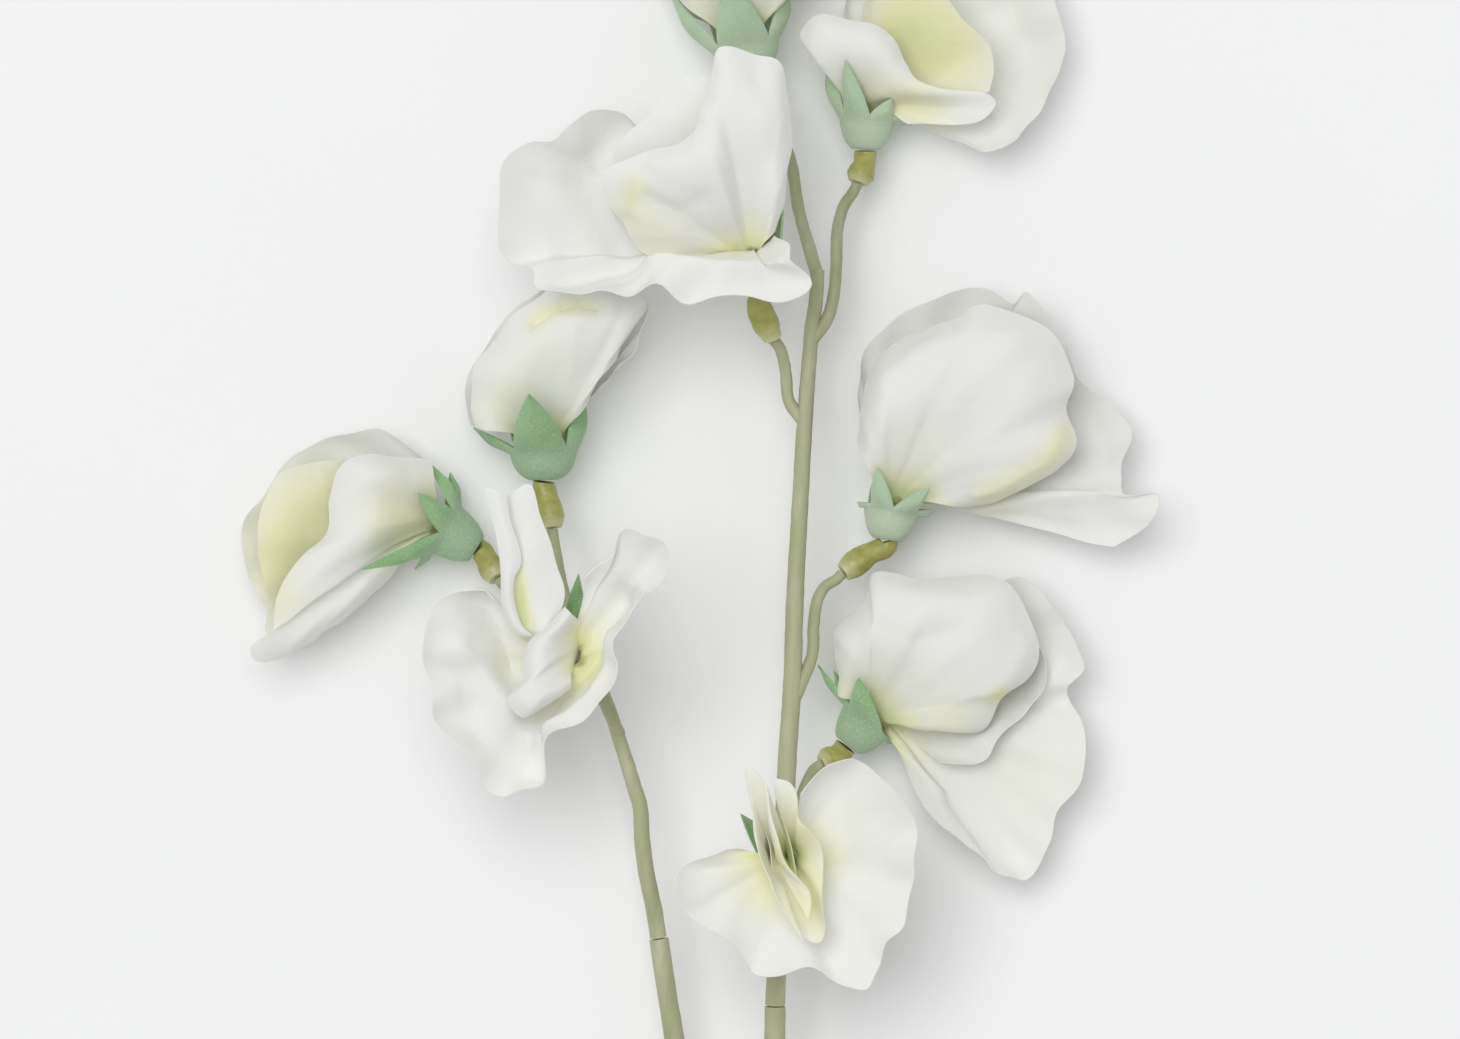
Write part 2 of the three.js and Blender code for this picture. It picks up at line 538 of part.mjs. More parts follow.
    wing_far: {
      seat: [0, -1], width: 5, reach: 4, columns: 9, rows: 4,
      edge: [[115, -2, -1, -1], [113, -11, 0, -3], [117, -19, 1, -4], [125, -23, 1, -5],
        [132, -20, 1, -4], [136, -12, 1, -3], [131, -2, -1, -1]],
    },
    keel: {
      seat: [0, 0], width: 4, reach: 4, columns: 7, rows: 3,
      edge: [[120, -2, 1, 1], [119, -9, 2, 1], [124, -14, 2, 1], [129, -10, 2, 1], [128, -2, 1, 1]],
    },
    collar: [[126.4, 14.5, 11.8], [128, 18, 11.9]],
    stalk: [[129.4, 20.5, 12.3], [131.9, 27.3, 13.7], [133.2, 35.2, 15], [136.2, 45.8, 16.5]],
  },
  {
    name: "bloom_6", // top right, seen from its side, facing right
    lift: 9.1,
    calyx: {
      foot: [144.3, 24.7, 0], floor: [144.5, 19.9, 0], up: [0, 0, 1], radius: 4.6,
      tips: [[137.7, 9.7, 1.5], [140.8, 10, 10.5], [148.6, 16.5, 6], [152, 20.8, 0], [146, 11, -9]],
    },
    standard: {
      seat: [0, -1.9], width: 4, reach: 5, columns: 19, rows: 5,
      edge: [[167.2, 24.5, 3, -5], [170.3, 22.2, 3, -6], [173.7, 17.7, 3, -7], [177, 10.3, 2, -8],
        [177.5, 6.7, 2, -9], [176.2, 0, 2, -9], [173.3, -6.7, 2, -9], [167.5, -12.5, 3, -9],
        [160, -15, 3, -9], [152.5, -14.2, 2, -8], [145.8, -10, 1, -7], [141.7, -4.2, 0, -6],
        [140.8, 1.7, -1, -4]],
    },
    wing_near: {
      seat: [0.5, 1], width: 5, reach: 4, columns: 12, rows: 4,
      edge: [[138, 10.3, 3.5, 2], [135.3, 9, 4.5, 3], [133.5, 6.7, 5.5, 4], [134.3, 4.5, 5.5, 5],
        [137, 2.5, 6.5, 5], [141.7, 3.3, 7.5, 5], [146.2, 4.3, 8.5, 5], [148.8, 7.3, 8.5, 5],
        [150.7, 12.5, 7.5, 4]],
    },
    wing_far: {
      seat: [-0.4, -1], width: 5, reach: 4, columns: 13, rows: 4,
      edge: [[164.7, 15.3, 5, -4], [165.5, 11.3, 6, -4], [164.7, 7, 6, -5], [160.5, 3, 6, -5],
        [157.5, -0.8, 5, -5], [152.5, -5.8, 4, -5], [146.7, -5, 3, -4], [144.3, 0, 2, -3]],
    },
    keel: {
      seat: [0, 0], width: 4, reach: 4, columns: 7, rows: 3,
      edge: [[141.5, 11, 1, 1], [141.5, 7, 2, 1], [145, 6, 3, 1], [148, 9, 3, 1], [147.5, 13.5, 1, 1]],
    },
    collar: [[144, 27.5, 9.6], [143, 30.3, 10.1]],
    stalk: [[142.2, 32, 10.5], [140.6, 34.4, 11.3], [139.6, 38.4, 12.3], [139.4, 44, 13.8], [139, 49, 15.2],
      [137.9, 53, 16.1], [135.5, 56.5, 16.5]],
  },
  {
    name: "bloom_7", // on the right, seen from its side, its standard flared to the right
    lift: 10.6,
    calyx: {
      foot: [147.8, 90, 0], floor: [148.6, 85.4, 0], up: [0, 0, 1], radius: 4.6,
      tips: [[142.8, 83.8, 1.5], [146.2, 78, 9], [155, 81.2, 10.5], [156, 85.2, 0.5], [147.5, 77, -10.5]],
    },
    standard: {
      seat: [0, -1.9], width: 4, reach: 5, columns: 24, rows: 5,
      edge: [[143.3, 67, 0, -6], [142.8, 63.3, 1, -7], [144.3, 58.7, 2, -8], [149.5, 52.7, 3, -9],
        [157.5, 49, 4, -9], [164.7, 48.2, 4, -9], [169, 50.5, 3, -9], [171.2, 48.5, 4, -9],
        [174.7, 52.3, 3, -9], [177.7, 56.7, 1, -9], [179.8, 62.7, -1, -9], [185.3, 67.3, -1, -8],
        [188.5, 72, 0, -8], [186.7, 77.7, 2, -7], [187.7, 82.2, 4, -7], [193, 82.5, 6, -6],
        [191.7, 87.2, 4, -5], [185.8, 91.2, 1, -4]],
    },
    wing_near: {
      seat: [0, 1], width: 5, reach: 4, columns: 18, rows: 5,
      edge: [[142.8, 73.3, 4, 5], [143.7, 67, 5, 7], [146.7, 60.3, 6, 9], [151, 55.7, 7, 9],
        [158.3, 53.3, 8, 9], [164.2, 50.7, 8, 9], [171.7, 53.3, 8, 9], [176.7, 57, 7, 9],
        [178.7, 62.5, 6, 9], [178, 67.5, 6, 8], [179.2, 73.5, 5, 7], [176.7, 77.8, 4, 6],
        [168.3, 82.7, 3, 4], [161.7, 84.7, 2, 3]],
    },
    wing_far: {
      seat: [0, -1], width: 5, reach: 4, columns: 11, rows: 4,
      edge: [[146, 74, -1, -2], [146, 65, 0, -4], [151, 58, 1, -5], [160, 54, 2, -5],
        [170, 56, 2, -5], [175.5, 62, 2, -5], [175.5, 72, 1, -4], [168, 79.5, 0, -2],
        [158, 83, -1, -1]],
    },
    keel: {
      seat: [0, 0], width: 4, reach: 4, columns: 8, rows: 3,
      edge: [[150, 74, 1, 1], [157, 65, 3, 2], [167, 64, 3, 2], [172, 70, 3, 2], [169, 77, 2, 1],
        [160, 81.5, 1, 0]],
    },
    collar: [[144.5, 92.6, 11.1], [140.6, 95.4, 11.9]],
    stalk: [[139.3, 96.7, 12.2], [137.5, 97.8, 12.7], [136.2, 100.3, 13.5], [135.6, 104.5, 14.5],
      [135.3, 109.5, 15.5], [132.6, 116, 16.5]],
  },
  {
    name: "bloom_8", // lower right, seen from its side, its standard hanging in a skirt
    lift: 10.1,
    calyx: {
      foot: [141.2, 124.3, 0], floor: [144.2, 120.6, 0], up: [0, 0, 1], radius: 4.6,
      tips: [[136.3, 111, 2], [143, 113, 11.5], [148.5, 124.2, -1], [149, 121, -10], [139, 112, -6]],
    },
    standard: {
      seat: [0, -1.9], width: 4, reach: 4, columns: 24, rows: 5,
      edge: [[146.7, 106.7, -3, -4], [153.3, 100, -2, -7], [161.7, 98.3, -1, -8], [167.2, 96.7, 0, -9],
        [170.3, 96.2, 1, -9], [174.2, 99.2, 2, -9], [177.5, 104.2, 2, -9], [180, 108, 2, -9],
        [180.8, 111.7, 2, -9], [178.3, 114.3, 0, -8], [178.3, 116.7, -1, -8], [180.5, 120.3, 1, -8],
        [181, 124.2, 2, -8], [180.5, 130.3, 2, -8], [176.2, 135.7, 1, -7], [174.7, 141.3, 1, -7],
        [170.3, 147.2, 0, -6], [162.5, 141.7, 3, -5], [157.5, 138, 2, -4], [154.2, 134.7, 1, -3]],
    },
    wing_near: {
      seat: [0, 1], width: 5, reach: 4, columns: 18, rows: 5,
      edge: [[139.8, 116, 3, 2], [139.7, 108.3, 4, 5], [140.7, 103.3, 5, 7], [144.7, 98.7, 6, 9],
        [146, 95.7, 7, 9], [149.5, 95.7, 8, 9], [154.2, 97.2, 8, 9], [160.8, 95.5, 8, 9],
        [166, 96.3, 8, 9], [170.5, 101, 8, 9], [173, 108.3, 7, 8], [171.5, 113.5, 6, 7],
        [166.7, 116.5, 5, 6], [163, 121.5, 3, 5], [156, 122.3, 2, 3]],
    },
    wing_far: {
      seat: [0, -1], width: 5, reach: 4, columns: 12, rows: 4,
      edge: [[149, 107, -1, -2], [152, 101, 0, -4], [160, 98.3, 1, -5], [168.3, 100, 2, -6],
        [173, 106.7, 3, -6], [174.5, 113, 4, -5], [171.3, 118, 4, -4], [166.7, 122.8, 4, -3],
        [164.2, 127, 3, -3], [156.7, 127, 1, -2]],
    },
    keel: {
      seat: [0, 0], width: 4, reach: 4, columns: 8, rows: 3,
      edge: [[148, 111, 1, 1], [156, 104, 3, 2], [164, 104, 4, 2], [167, 111, 4, 2],
        [161, 117, 3, 1], [152, 119, 1, 0]],
    },
    collar: [[139.4, 126.2, 10.9], [137, 127.4, 11.7]],
    stalk: [[135.5, 128.6, 12.5], [134, 131.8, 14], [132.2, 137, 15.7], [130.6, 141, 16.3]],
  },
  {
    name: "bloom_9", // lowest on the right branch, open towards the viewer
    lift: 32.5,
    calyx: {
      foot: [131.7, 146.2, -4.6], floor: [131, 144.2, -0.6], up: [-0.3, -1, 0], radius: 4.6,
      tips: [[123.3, 135.3, 6], [133.3, 137.8, -1.5], [137.2, 143.9, 0.9], [132.2, 148.9, 1],
        [125.3, 147.1, 0.3]],
    },
    standard: {
      seat: [0, -0.3], ring: 3.3, reach: 5.5, columns: 26, rows: 5,
      edge: [[123.5, 141.2, 3, -1], [119.7, 141.8, 5, -1.5], [116.2, 143.8, 6, -1.5],
        [112.5, 146.7, 7, -1.5], [113.8, 150.5, 6, -1.5], [115, 152.5, 5, -1.5],
        [119.7, 155.7, 4, -1.5], [124.7, 159.5, 3, -1.5], [126.2, 161.8, 3, -1.5],
        [130, 162.7, 3, -1.5], [135.3, 161.2, 4, -1.5], [140.3, 163.8, 3, -1.5],
        [144.3, 164.5, 3, -1.5], [145.5, 161.3, 4, -1.5], [147.5, 157, 5, -2], [150.5, 154.2, 6, -2],
        [151.3, 148.3, 6, -2], [152.7, 143.7, 7, -2], [151.8, 135.8, 8, -2], [149.2, 131.3, 8, -2],
        [143.7, 128, 7, -2], [140.8, 126.7, 8, -2], [135.8, 129, 7, -1.5], [133, 131.7, 7, -1.5]],
    },
    wing_near: {
      seat: [-1.5, 0.6], ring: 0.7, reach: 6.5, columns: 17, rows: 4,
      edge: [[134.7, 154.2, 13.6, 2], [133.3, 148.8, 13.6, 2], [130.8, 144.2, 14.6, 3],
        [129.2, 140, 15.6, 3], [127.5, 135, 16.6, 3], [128, 131.7, 16.6, 3], [126.2, 128.3, 16.6, 3],
        [124.2, 127.5, 16.6, 3], [125, 133.3, 14.6, 2], [125.8, 138.5, 12.6, 2], [127, 143.7, 10.6, 1],
        [128.7, 147, 9.6, 1], [130.3, 150.8, 9.6, 1], [133.8, 156.7, 10.6, 1]],
    },
    wing_far: {
      seat: [1.4, 0.4], ring: 0.9, reach: 5, columns: 15, rows: 4,
      edge: [[128.5, 129.2, 11.1, 2], [131.5, 130, 11.1, 2], [132.8, 132.5, 11.1, 2],
        [133, 135.8, 10.1, 2], [134.2, 137.5, 10.1, 1], [135.8, 140, 9.1, 1], [136.7, 142.5, 8.1, 1],
        [137.3, 145.8, 8.1, 1], [137.7, 151.7, 8.1, 0], [136.8, 156.7, 8.1, 0], [134.2, 156, 8.1, 0]],
    },
    keel: {
      seat: [0, 0.4], ring: 0.5, reach: 2, columns: 8, rows: 3,
      edge: [[130.9, 137.5, 7.2, 0], [132, 141, 7.2, 0], [132.6, 145, 7.2, 0], [132.4, 147, 6.2, 0],
        [131.4, 146.8, 5.2, 0]],
    },
    collar: [[132.2, 149.4, 24.1]],
    stalk: [[132.2, 151, 22.5], [131.6, 155.5, 18.5], [129.6, 160.8, 15.1]],
  },
];

// ---- the stems ----
// The branches plug into the lower stem, which forks and is thicker.

const MAIN_BRANCH = {
  places: [[136.3, 44.9, 16.5], [136, 50, 16.5], [135.3, 55, 16.5], [134.2, 69.2, 16.5], [133.4, 83.3, 16.5],
    [132.5, 100, 16.5], [132, 115, 16.5], [131.2, 126.7, 16.5], [130.6, 140, 16.3], [130, 152, 15.7],
    [129.4, 162.5, 14.8], [129.2, 167.6, 14.1]],
  radii: [1.15, 1.35, 1.5, 1.6, 1.65],
};
const LEFT_BRANCH = {
  places: [[99, 113.5, 16.5], [100.6, 115.6, 16.5], [104.2, 126.3, 16.5], [105.7, 131.3, 16.3],
    [106.7, 134.7, 16.1], [107, 140, 15.7], [107.8, 146, 15.1], [109, 151.7, 14.5], [109.7, 156.3, 13.9]],
  radii: [1, 1.2, 1.35, 1.4],
};
const LOWER_STEM = {
  places: [[129.2, 167.9, 14], [129, 180, 13], [128.4, 205, 10.8], [127.4, 235, 8.4],
    [126.2, 262, 6.4], [125, 290, 4.8], [123.8, 330, 3.4], [122.6, 391.7, 2.2]],
  radii: [1.75, 1.8, 2.1, 2.2],
};
const LOWER_ARM = {
  places: [[109.8, 156.6, 13.8], [111, 164.8, 13.2], [112.6, 174.5, 12.2], [116, 196, 10.7],
    [120.2, 225, 8.5], [124.9, 254, 6.8], [126.2, 262, 6.4]],
  radii: [1.6, 1.7, 1.75, 1.9],
};
const PEG_LENGTH = 5; // how far a branch is plugged in
const PEG_RADIUS = 0.7;

// The straight line on from the end of a branch, as two places.
function pegOf({ places }) {
  const [before, end] = places.slice(-2);
  const length = Math.hypot(...end.map((value, k) => value - before[k]));
  const further = (distance) => end.map((value, k) => value + (distance * (value - before[k])) / length);
  return { from: further(-1), to: further(PEG_LENGTH), past: further(PEG_LENGTH + SEAT_GAP) };
}

function branch(stem, blooms) {
  const peg = pegOf(stem);
  const stalks = blooms.map(({ collar: sleeve, stalk }) => {
    const end = place(sleeve.at(-1));
    end.add(place(stalk[0]).sub(end).setLength(SEAT_GAP));
    return rod([sheetPlace(end), ...stalk], [STALK_RADIUS, STALK_RADIUS]);
  });
  return joined([rod(stem.places, stem.radii), rod([peg.from, peg.to], [PEG_RADIUS, PEG_RADIUS]), ...stalks]);
}

function lowerStem() {
  const whole = [LOWER_STEM, LOWER_ARM].map((stem) => solidOf(rod(stem.places, stem.radii)));
  const sockets = [MAIN_BRANCH, LEFT_BRANCH].map((stem) => {
    const peg = pegOf(stem);
    return solidOf(rod([peg.from, peg.past], [PEG_RADIUS + SEAT_GAP, PEG_RADIUS + SEAT_GAP]));
  });
  return geometryFrom(sockets.reduce((stem, socket) => stem.subtract(socket), whole[0].add(whole[1])));
}

// A collar runs from the foot of the calyx to the end of the flower stalk, swelling to a knob.
function collar(bloom) {
  const { foot, out } = directionsOf(bloom);
  const behind = (distance) => sheetPlace(foot.clone().addScaledVector(out, -distance));
  const radii = [COLLAR_RADIUS, COLLAR_RADIUS, COLLAR_KNOB_RADIUS, COLLAR_RADIUS];
  return rod([behind(SEAT_GAP), behind(4 * SEAT_GAP), ...bloom.collar], radii, STEM_SIDES, COLLAR_STEP);
}

// ---- the spray ----

const group = new THREE.Group();

function add(name, geometry, colour) {
  const material = new THREE.MeshStandardMaterial({ color: colour, roughness: 0.8, metalness: 0 });
  const mesh = new THREE.Mesh(geometry, material);
  mesh.name = name;
  group.add(mesh);
}

for (const bloom of BLOOMS) {
  const nearWing = bloom.wing_near.left ? ribbon(bloom, bloom.wing_near) : petal(bloom, bloom.wing_near);
  add(`${bloom.name}_standard`, petal(bloom, bloom.standard), COLOURS.petal);
  add(`${bloom.name}_wing_near`, nearWing, COLOURS.petal);
  add(`${bloom.name}_wing_far`, petal(bloom, bloom.wing_far), COLOURS.petal);
  add(`${bloom.name}_keel`, petal(bloom, bloom.keel), COLOURS.keel);
  add(`${bloom.name}_calyx`, calyx(bloom), COLOURS.calyx);
  add(`${bloom.name}_collar`, collar(bloom), COLOURS.collar);
}
add("left_branch", branch(LEFT_BRANCH, BLOOMS.slice(0, 3)), COLOURS.stem);
add("main_branch", branch(MAIN_BRANCH, BLOOMS.slice(3)), COLOURS.stem);
add("lower_stem", lowerStem(), COLOURS.stem);

export default group;
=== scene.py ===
import math

import bmesh
import bpy
import numpy as np
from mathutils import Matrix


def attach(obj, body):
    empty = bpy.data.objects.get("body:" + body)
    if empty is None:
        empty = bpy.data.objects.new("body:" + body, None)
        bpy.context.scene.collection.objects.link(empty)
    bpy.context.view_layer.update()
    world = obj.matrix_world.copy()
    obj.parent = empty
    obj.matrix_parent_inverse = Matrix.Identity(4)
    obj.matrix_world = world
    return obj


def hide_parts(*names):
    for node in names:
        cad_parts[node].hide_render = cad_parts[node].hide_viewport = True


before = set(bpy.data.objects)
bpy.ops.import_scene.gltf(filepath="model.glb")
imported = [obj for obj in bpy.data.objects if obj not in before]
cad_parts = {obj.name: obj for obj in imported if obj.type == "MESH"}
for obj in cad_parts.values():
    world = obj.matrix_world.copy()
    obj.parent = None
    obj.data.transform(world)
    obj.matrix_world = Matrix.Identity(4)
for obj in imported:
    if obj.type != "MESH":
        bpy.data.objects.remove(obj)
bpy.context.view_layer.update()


# ---- The view ----
# The spray lies flat, so the camera hangs straight above it on a long lens. Places are given on
# the layout sheet: millimetres to the right and down from the top left corner of the view, and up
# from the table.
VIEW_WIDTH = 243.33
VIEW_HEIGHT = 173.17
SHEET_MIDDLE = (116.7, 181.6)
CAMERA_HEIGHT = 4000.0
SHARP_HEIGHT = 20.0  # the height above the table at which the sheet fills the view
SENSOR_WIDTH = 36.0
VIEW_REACH = 20.0  # in metres


def place(x, y, z):
    return np.array([x - SHEET_MIDDLE[0], SHEET_MIDDLE[1] - y, z]) / 1000


camera_data = bpy.data.cameras.new("camera")
camera_data.sensor_width = SENSOR_WIDTH
camera_data.lens = SENSOR_WIDTH * (CAMERA_HEIGHT - SHARP_HEIGHT) / VIEW_WIDTH
camera_data.clip_end = VIEW_REACH
camera = bpy.data.objects.new("camera", camera_data)
camera.location = place(VIEW_WIDTH / 2, VIEW_HEIGHT / 2, CAMERA_HEIGHT)
bpy.context.scene.collection.objects.link(camera)
bpy.context.scene.camera = camera


# ---- The lower stem ----
# The real one is soft wire in a moulded green plastic skin, forked once. Each branch is plugged
# into it, so the stem steps in a little where a branch starts.
LOWER_STEM = [(129.2, 167.9, 14), (129, 180, 13), (128.4, 205, 10.8), (127.4, 235, 8.4),
    (126.2, 262, 6.4), (125, 290, 4.8), (123.8, 330, 3.4), (122.6, 391.7, 2.2)]
LOWER_STEM_RADII = [1.75, 1.8, 2.1, 2.2]
LOWER_ARM = [(109.8, 156.6, 13.8), (111, 164.8, 13.2), (112.6, 174.5, 12.2), (116, 196, 10.7),
    (120.2, 225, 8.5), (124.9, 254, 6.8), (126.2, 262, 6.4)]
LOWER_ARM_RADII = [1.6, 1.7, 1.75, 1.9]
STEM_GREEN = "#a7ab80"
STEM_SHADE = "#6d7747"
STEM_BLOOM = "#d4d1b6"
STEM_STREAK_MM = 1.6  # width of the paler and darker streaks of the skin
STREAK_STRETCH = 0.22  # a streak is this much narrower than it is long
STEM_PATCH_MM = 14.0  # width of the patches that are streaked more, or less
STEM_SIDES = 20
STEM_RING_MM = 1.5  # from one ring of the skin to the next
BRANCH_RING_MM = 1.2
CURVE_STEPS = 24  # pieces that a curve is cut into between two given points
STEM_GRAIN_MM = 0.5  # the skin's grain is half as wide, drawn coarser so that it shows


def linear(code):
    """The linear colour of an sRGB hex value."""
    parts = [int(code[k:k + 2], 16) / 255 for k in (1, 3, 5)]
    return tuple(p / 12.92 if p <= 0.04045 else ((p + 0.055) / 1.055) ** 2.4 for p in parts) + (1,)


def add(tree, kind, inputs=None, **settings):
    """Adds a node. An input is a value, or a socket or node that is linked to it. A node stands
    for the first of its outputs that is in use."""
    made = tree.nodes.new("ShaderNode" + kind)
    for name, value in settings.items():
        setattr(made, name, value)
    for name, value in (inputs or {}).items():
        if isinstance(value, bpy.types.Node):
            value = next(socket for socket in value.outputs if socket.enabled)
        if isinstance(value, bpy.types.NodeSocket):
            tree.links.new(value, made.inputs[name])
        else:
            made.inputs[name].default_value = value
    return made


def new_material(name):
    made = bpy.data.materials.new(name)
    made.use_nodes = True
    made.node_tree.nodes.clear()
    return made, made.node_tree


def between(a, b, c, d, steps):
    """Points on a smooth curve from b until just before c. Its neighbours are a and d."""
    t = np.linspace(0, 1, steps, endpoint=False)[:, None]
    return list(b + 0.5 * t * (c - a + t * (2 * a - 5 * b + 4 * c - d + t * (3 * (b - c) + d - a))))


def smooth_line(points, step):
    """Points a step apart along a curve through the given ones, and how far along each lies."""
    p = np.array(points, float)
    p = np.vstack([2 * p[0] - p[1], p, 2 * p[-1] - p[-2]])
    fine = []
    for k in range(1, len(p) - 2):
        fine += between(*p[k - 1:k + 3], CURVE_STEPS)
    fine = np.array(fine + [p[-2]])
    run = np.concatenate([[0], np.cumsum(np.linalg.norm(np.diff(fine, axis=0), axis=1))])
    count = max(3, int(round(run[-1] / step)))
    want = np.linspace(0, run[-1], count + 1)
    return np.stack([np.interp(want, run, fine[:, k]) for k in range(3)], axis=1), want / run[-1]


def rod(points, radii, sides, step, seed, rough=0.03):
    """Rings of a round rod whose skin is a little uneven: corners, faces and how far along."""
    line, along = smooth_line([place(*q) for q in points], step / 1000)
    radius = np.interp(along, np.linspace(0, 1, len(radii)), radii) / 1000
    random = np.random.default_rng(seed)
    heading = np.gradient(line, axis=0)
    heading /= np.linalg.norm(heading, axis=1, keepdims=True)
    side = np.cross(heading[0], [0, 0, 1])
    side /= np.linalg.norm(side)
    corners = []
    uneven = random.normal(0, rough, (len(line), sides))
    for k, (centre, ahead) in enumerate(zip(line, heading)):
        side = side - ahead * side.dot(ahead)
        side /= np.linalg.norm(side)
        other = np.cross(ahead, side)
        for s in range(sides):
            angle = 2 * math.pi * s / sides
            out = radius[k] * (1 + uneven[k, s] * 0.5 + uneven[k].mean())
            corners.append(centre + out * (math.cos(angle) * side + math.sin(angle) * other))
    faces = []
    for k in range(len(line) - 1):
        for s in range(sides):
            a, b = k * sides + s, k * sides + (s + 1) % sides
            faces.append((a, b, b + sides, a + sides))
    faces.append(tuple(reversed(range(sides))))
    faces.append(tuple(range((len(line) - 1) * sides, len(line) * sides)))
    return corners, faces, np.repeat(along, sides)


def joined(shapes):
    """Several shapes as one list of corners, faces and marks."""
    corners, faces, marks = [], [], []
    for shape_corners, shape_faces, shape_marks in shapes:
        first = len(corners)
        corners.extend(shape_corners)
        faces.extend(tuple(first + k for k in face) for face in shape_faces)
        marks.extend(shape_marks)
    return corners, faces, marks


def piece(name, shape, material, slot, sharp=50, **marks):
    """A shown piece that stands for the CAD node of its name, with a mark on each corner."""
    corners, faces, rise = shape
    mesh = bpy.data.meshes.new(name)
    mesh.from_pydata([tuple(c) for c in corners], [], faces)
    for label, values in dict(rise=rise, **marks).items():
        mark = mesh.attributes.new(label, "FLOAT", "POINT")
        mark.data.foreach_set("value", np.asarray(values, np.float32))
    shaped = bmesh.new()
    shaped.from_mesh(mesh)
    bmesh.ops.recalc_face_normals(shaped, faces=shaped.faces)
    shaped.to_mesh(mesh)
    shaped.free()
    mesh.shade_smooth()
    mesh.set_sharp_from_angle(angle=math.radians(sharp))
    mesh.materials.append(material)
    made = bpy.data.objects.new(name + "_shown", mesh)
    bpy.context.scene.collection.objects.link(made)
    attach(made, "root")
    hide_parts(name)


# Moulded polyethylene skin with a dull, slightly chalky face: olive green, paler where it is
# rubbed, in soft streaks along the stem.
stem_skin, tree = new_material("moulded polyethylene stem skin")
where = add(tree, "TexCoord").outputs["Object"]
stretched = add(tree, "Mapping", {"Vector": where, "Scale": (1, STREAK_STRETCH, 1)})
streaks = add(tree, "TexNoise", {"Vector": stretched, "Scale": 1000 / (2 * STEM_STREAK_MM),
    "Detail": 3, "Roughness": 0.6})
patches = add(tree, "TexNoise", {"Vector": where, "Scale": 1000 / STEM_PATCH_MM, "Detail": 2})
grain = add(tree, "TexNoise", {"Vector": where, "Scale": 1000 / STEM_GRAIN_MM, "Detail": 2})
green = add(tree, "Mix", {"Factor": streaks, "A": linear(STEM_SHADE), "B": linear(STEM_BLOOM)},
    data_type="RGBA")
bloom_tone = add(tree, "MapRange", {"Value": patches, "From Min": 0.35, "From Max": 0.7,
    "To Min": 0.35, "To Max": 1.0})
skin = add(tree, "Mix", {"Factor": bloom_tone, "A": linear(STEM_GREEN), "B": green}, data_type="RGBA")
uneven = add(tree, "Bump", {"Height": grain, "Strength": 0.35, "Distance": 0.0002})
shader = add(tree, "BsdfPrincipled", {"Base Color": skin, "Roughness": 0.62, "IOR": 1.5,
    "Normal": uneven, "Subsurface Weight": 0.15, "Subsurface Radius": (0.001, 0.001, 0.0006),
    "Subsurface Scale": 1.0})
add(tree, "OutputMaterial", {"Surface": shader})

lower = joined([rod(LOWER_STEM, LOWER_STEM_RADII, STEM_SIDES, STEM_RING_MM, 1),
                rod(LOWER_ARM, LOWER_ARM_RADII, STEM_SIDES, STEM_RING_MM, 2)])
piece("lower_stem", lower, stem_skin, "stem")


# ---- The two branches ----
# Each is one moulding of the same plastic: a slender branch with its flower stalks, which leave it
# at a slant. A stalk ends inside the collar of its bloom.
MAIN_BRANCH = [(136.3, 44.9, 16.5), (136, 50, 16.5), (135.3, 55, 16.5), (134.2, 69.2, 16.5),
    (133.4, 83.3, 16.5), (132.5, 100, 16.5), (132, 115, 16.5), (131.2, 126.7, 16.5),
    (130.6, 140, 16.3), (130, 152, 15.7), (129.4, 162.5, 14.8), (129.2, 167.6, 14.1)]
MAIN_BRANCH_RADII = [1.15, 1.35, 1.5, 1.6, 1.65]
LEFT_BRANCH = [(99, 113.5, 16.5), (100.6, 115.6, 16.5), (104.2, 126.3, 16.5), (105.7, 131.3, 16.3),
    (106.7, 134.7, 16.1), (107, 140, 15.7), (107.8, 146, 15.1), (109, 151.7, 14.5),
    (109.7, 156.3, 13.9)]
LEFT_BRANCH_RADII = [1, 1.2, 1.35, 1.4]
STALKS = {
    "bloom_1": [(84.3, 98, 11.4), (88, 101.5, 13.6), (94, 107.5, 15.9), (99, 113.5, 16.5)],
    "bloom_2": [(92.3, 90.5, 13.2), (94, 99, 15), (97, 107.5, 16.2), (100.6, 115, 16.5)],
    "bloom_3": [(99.3, 114, 22.5), (100.6, 116.8, 19.9), (103.2, 122.5, 16.5)],
    "bloom_4": [(130.2, 58.5, 17.7), (131, 62.3, 16.5), (131.5, 66.8, 16.1), (134.1, 70.4, 16.5)],
    "bloom_5": [(129.4, 20.5, 12.3), (131.9, 27.3, 13.7), (133.2, 35.2, 15), (136.2, 45.8, 16.5)],
    "bloom_6": [(142.2, 32, 10.5), (140.6, 34.4, 11.3), (139.6, 38.4, 12.3), (139.4, 44, 13.8),
        (139, 49, 15.2), (137.9, 53, 16.1), (135.5, 56.5, 16.5)],
    "bloom_7": [(139.3, 96.7, 12.2), (137.5, 97.8, 12.7), (136.2, 100.3, 13.5), (135.6, 104.5, 14.5),
        (135.3, 109.5, 15.5), (132.6, 116, 16.5)],
    "bloom_8": [(135.5, 128.6, 12.5), (134, 131.8, 14), (132.2, 137, 15.7), (130.6, 141, 16.3)],
    "bloom_9": [(132.2, 151, 22.5), (131.6, 155.5, 18.5), (129.6, 160.8, 15.1)],
}
STALK_RADIUS = 1.0
STALK_SIDES = 16
STALK_RING_MM = 0.8
STALK_ROUGH = 0.04
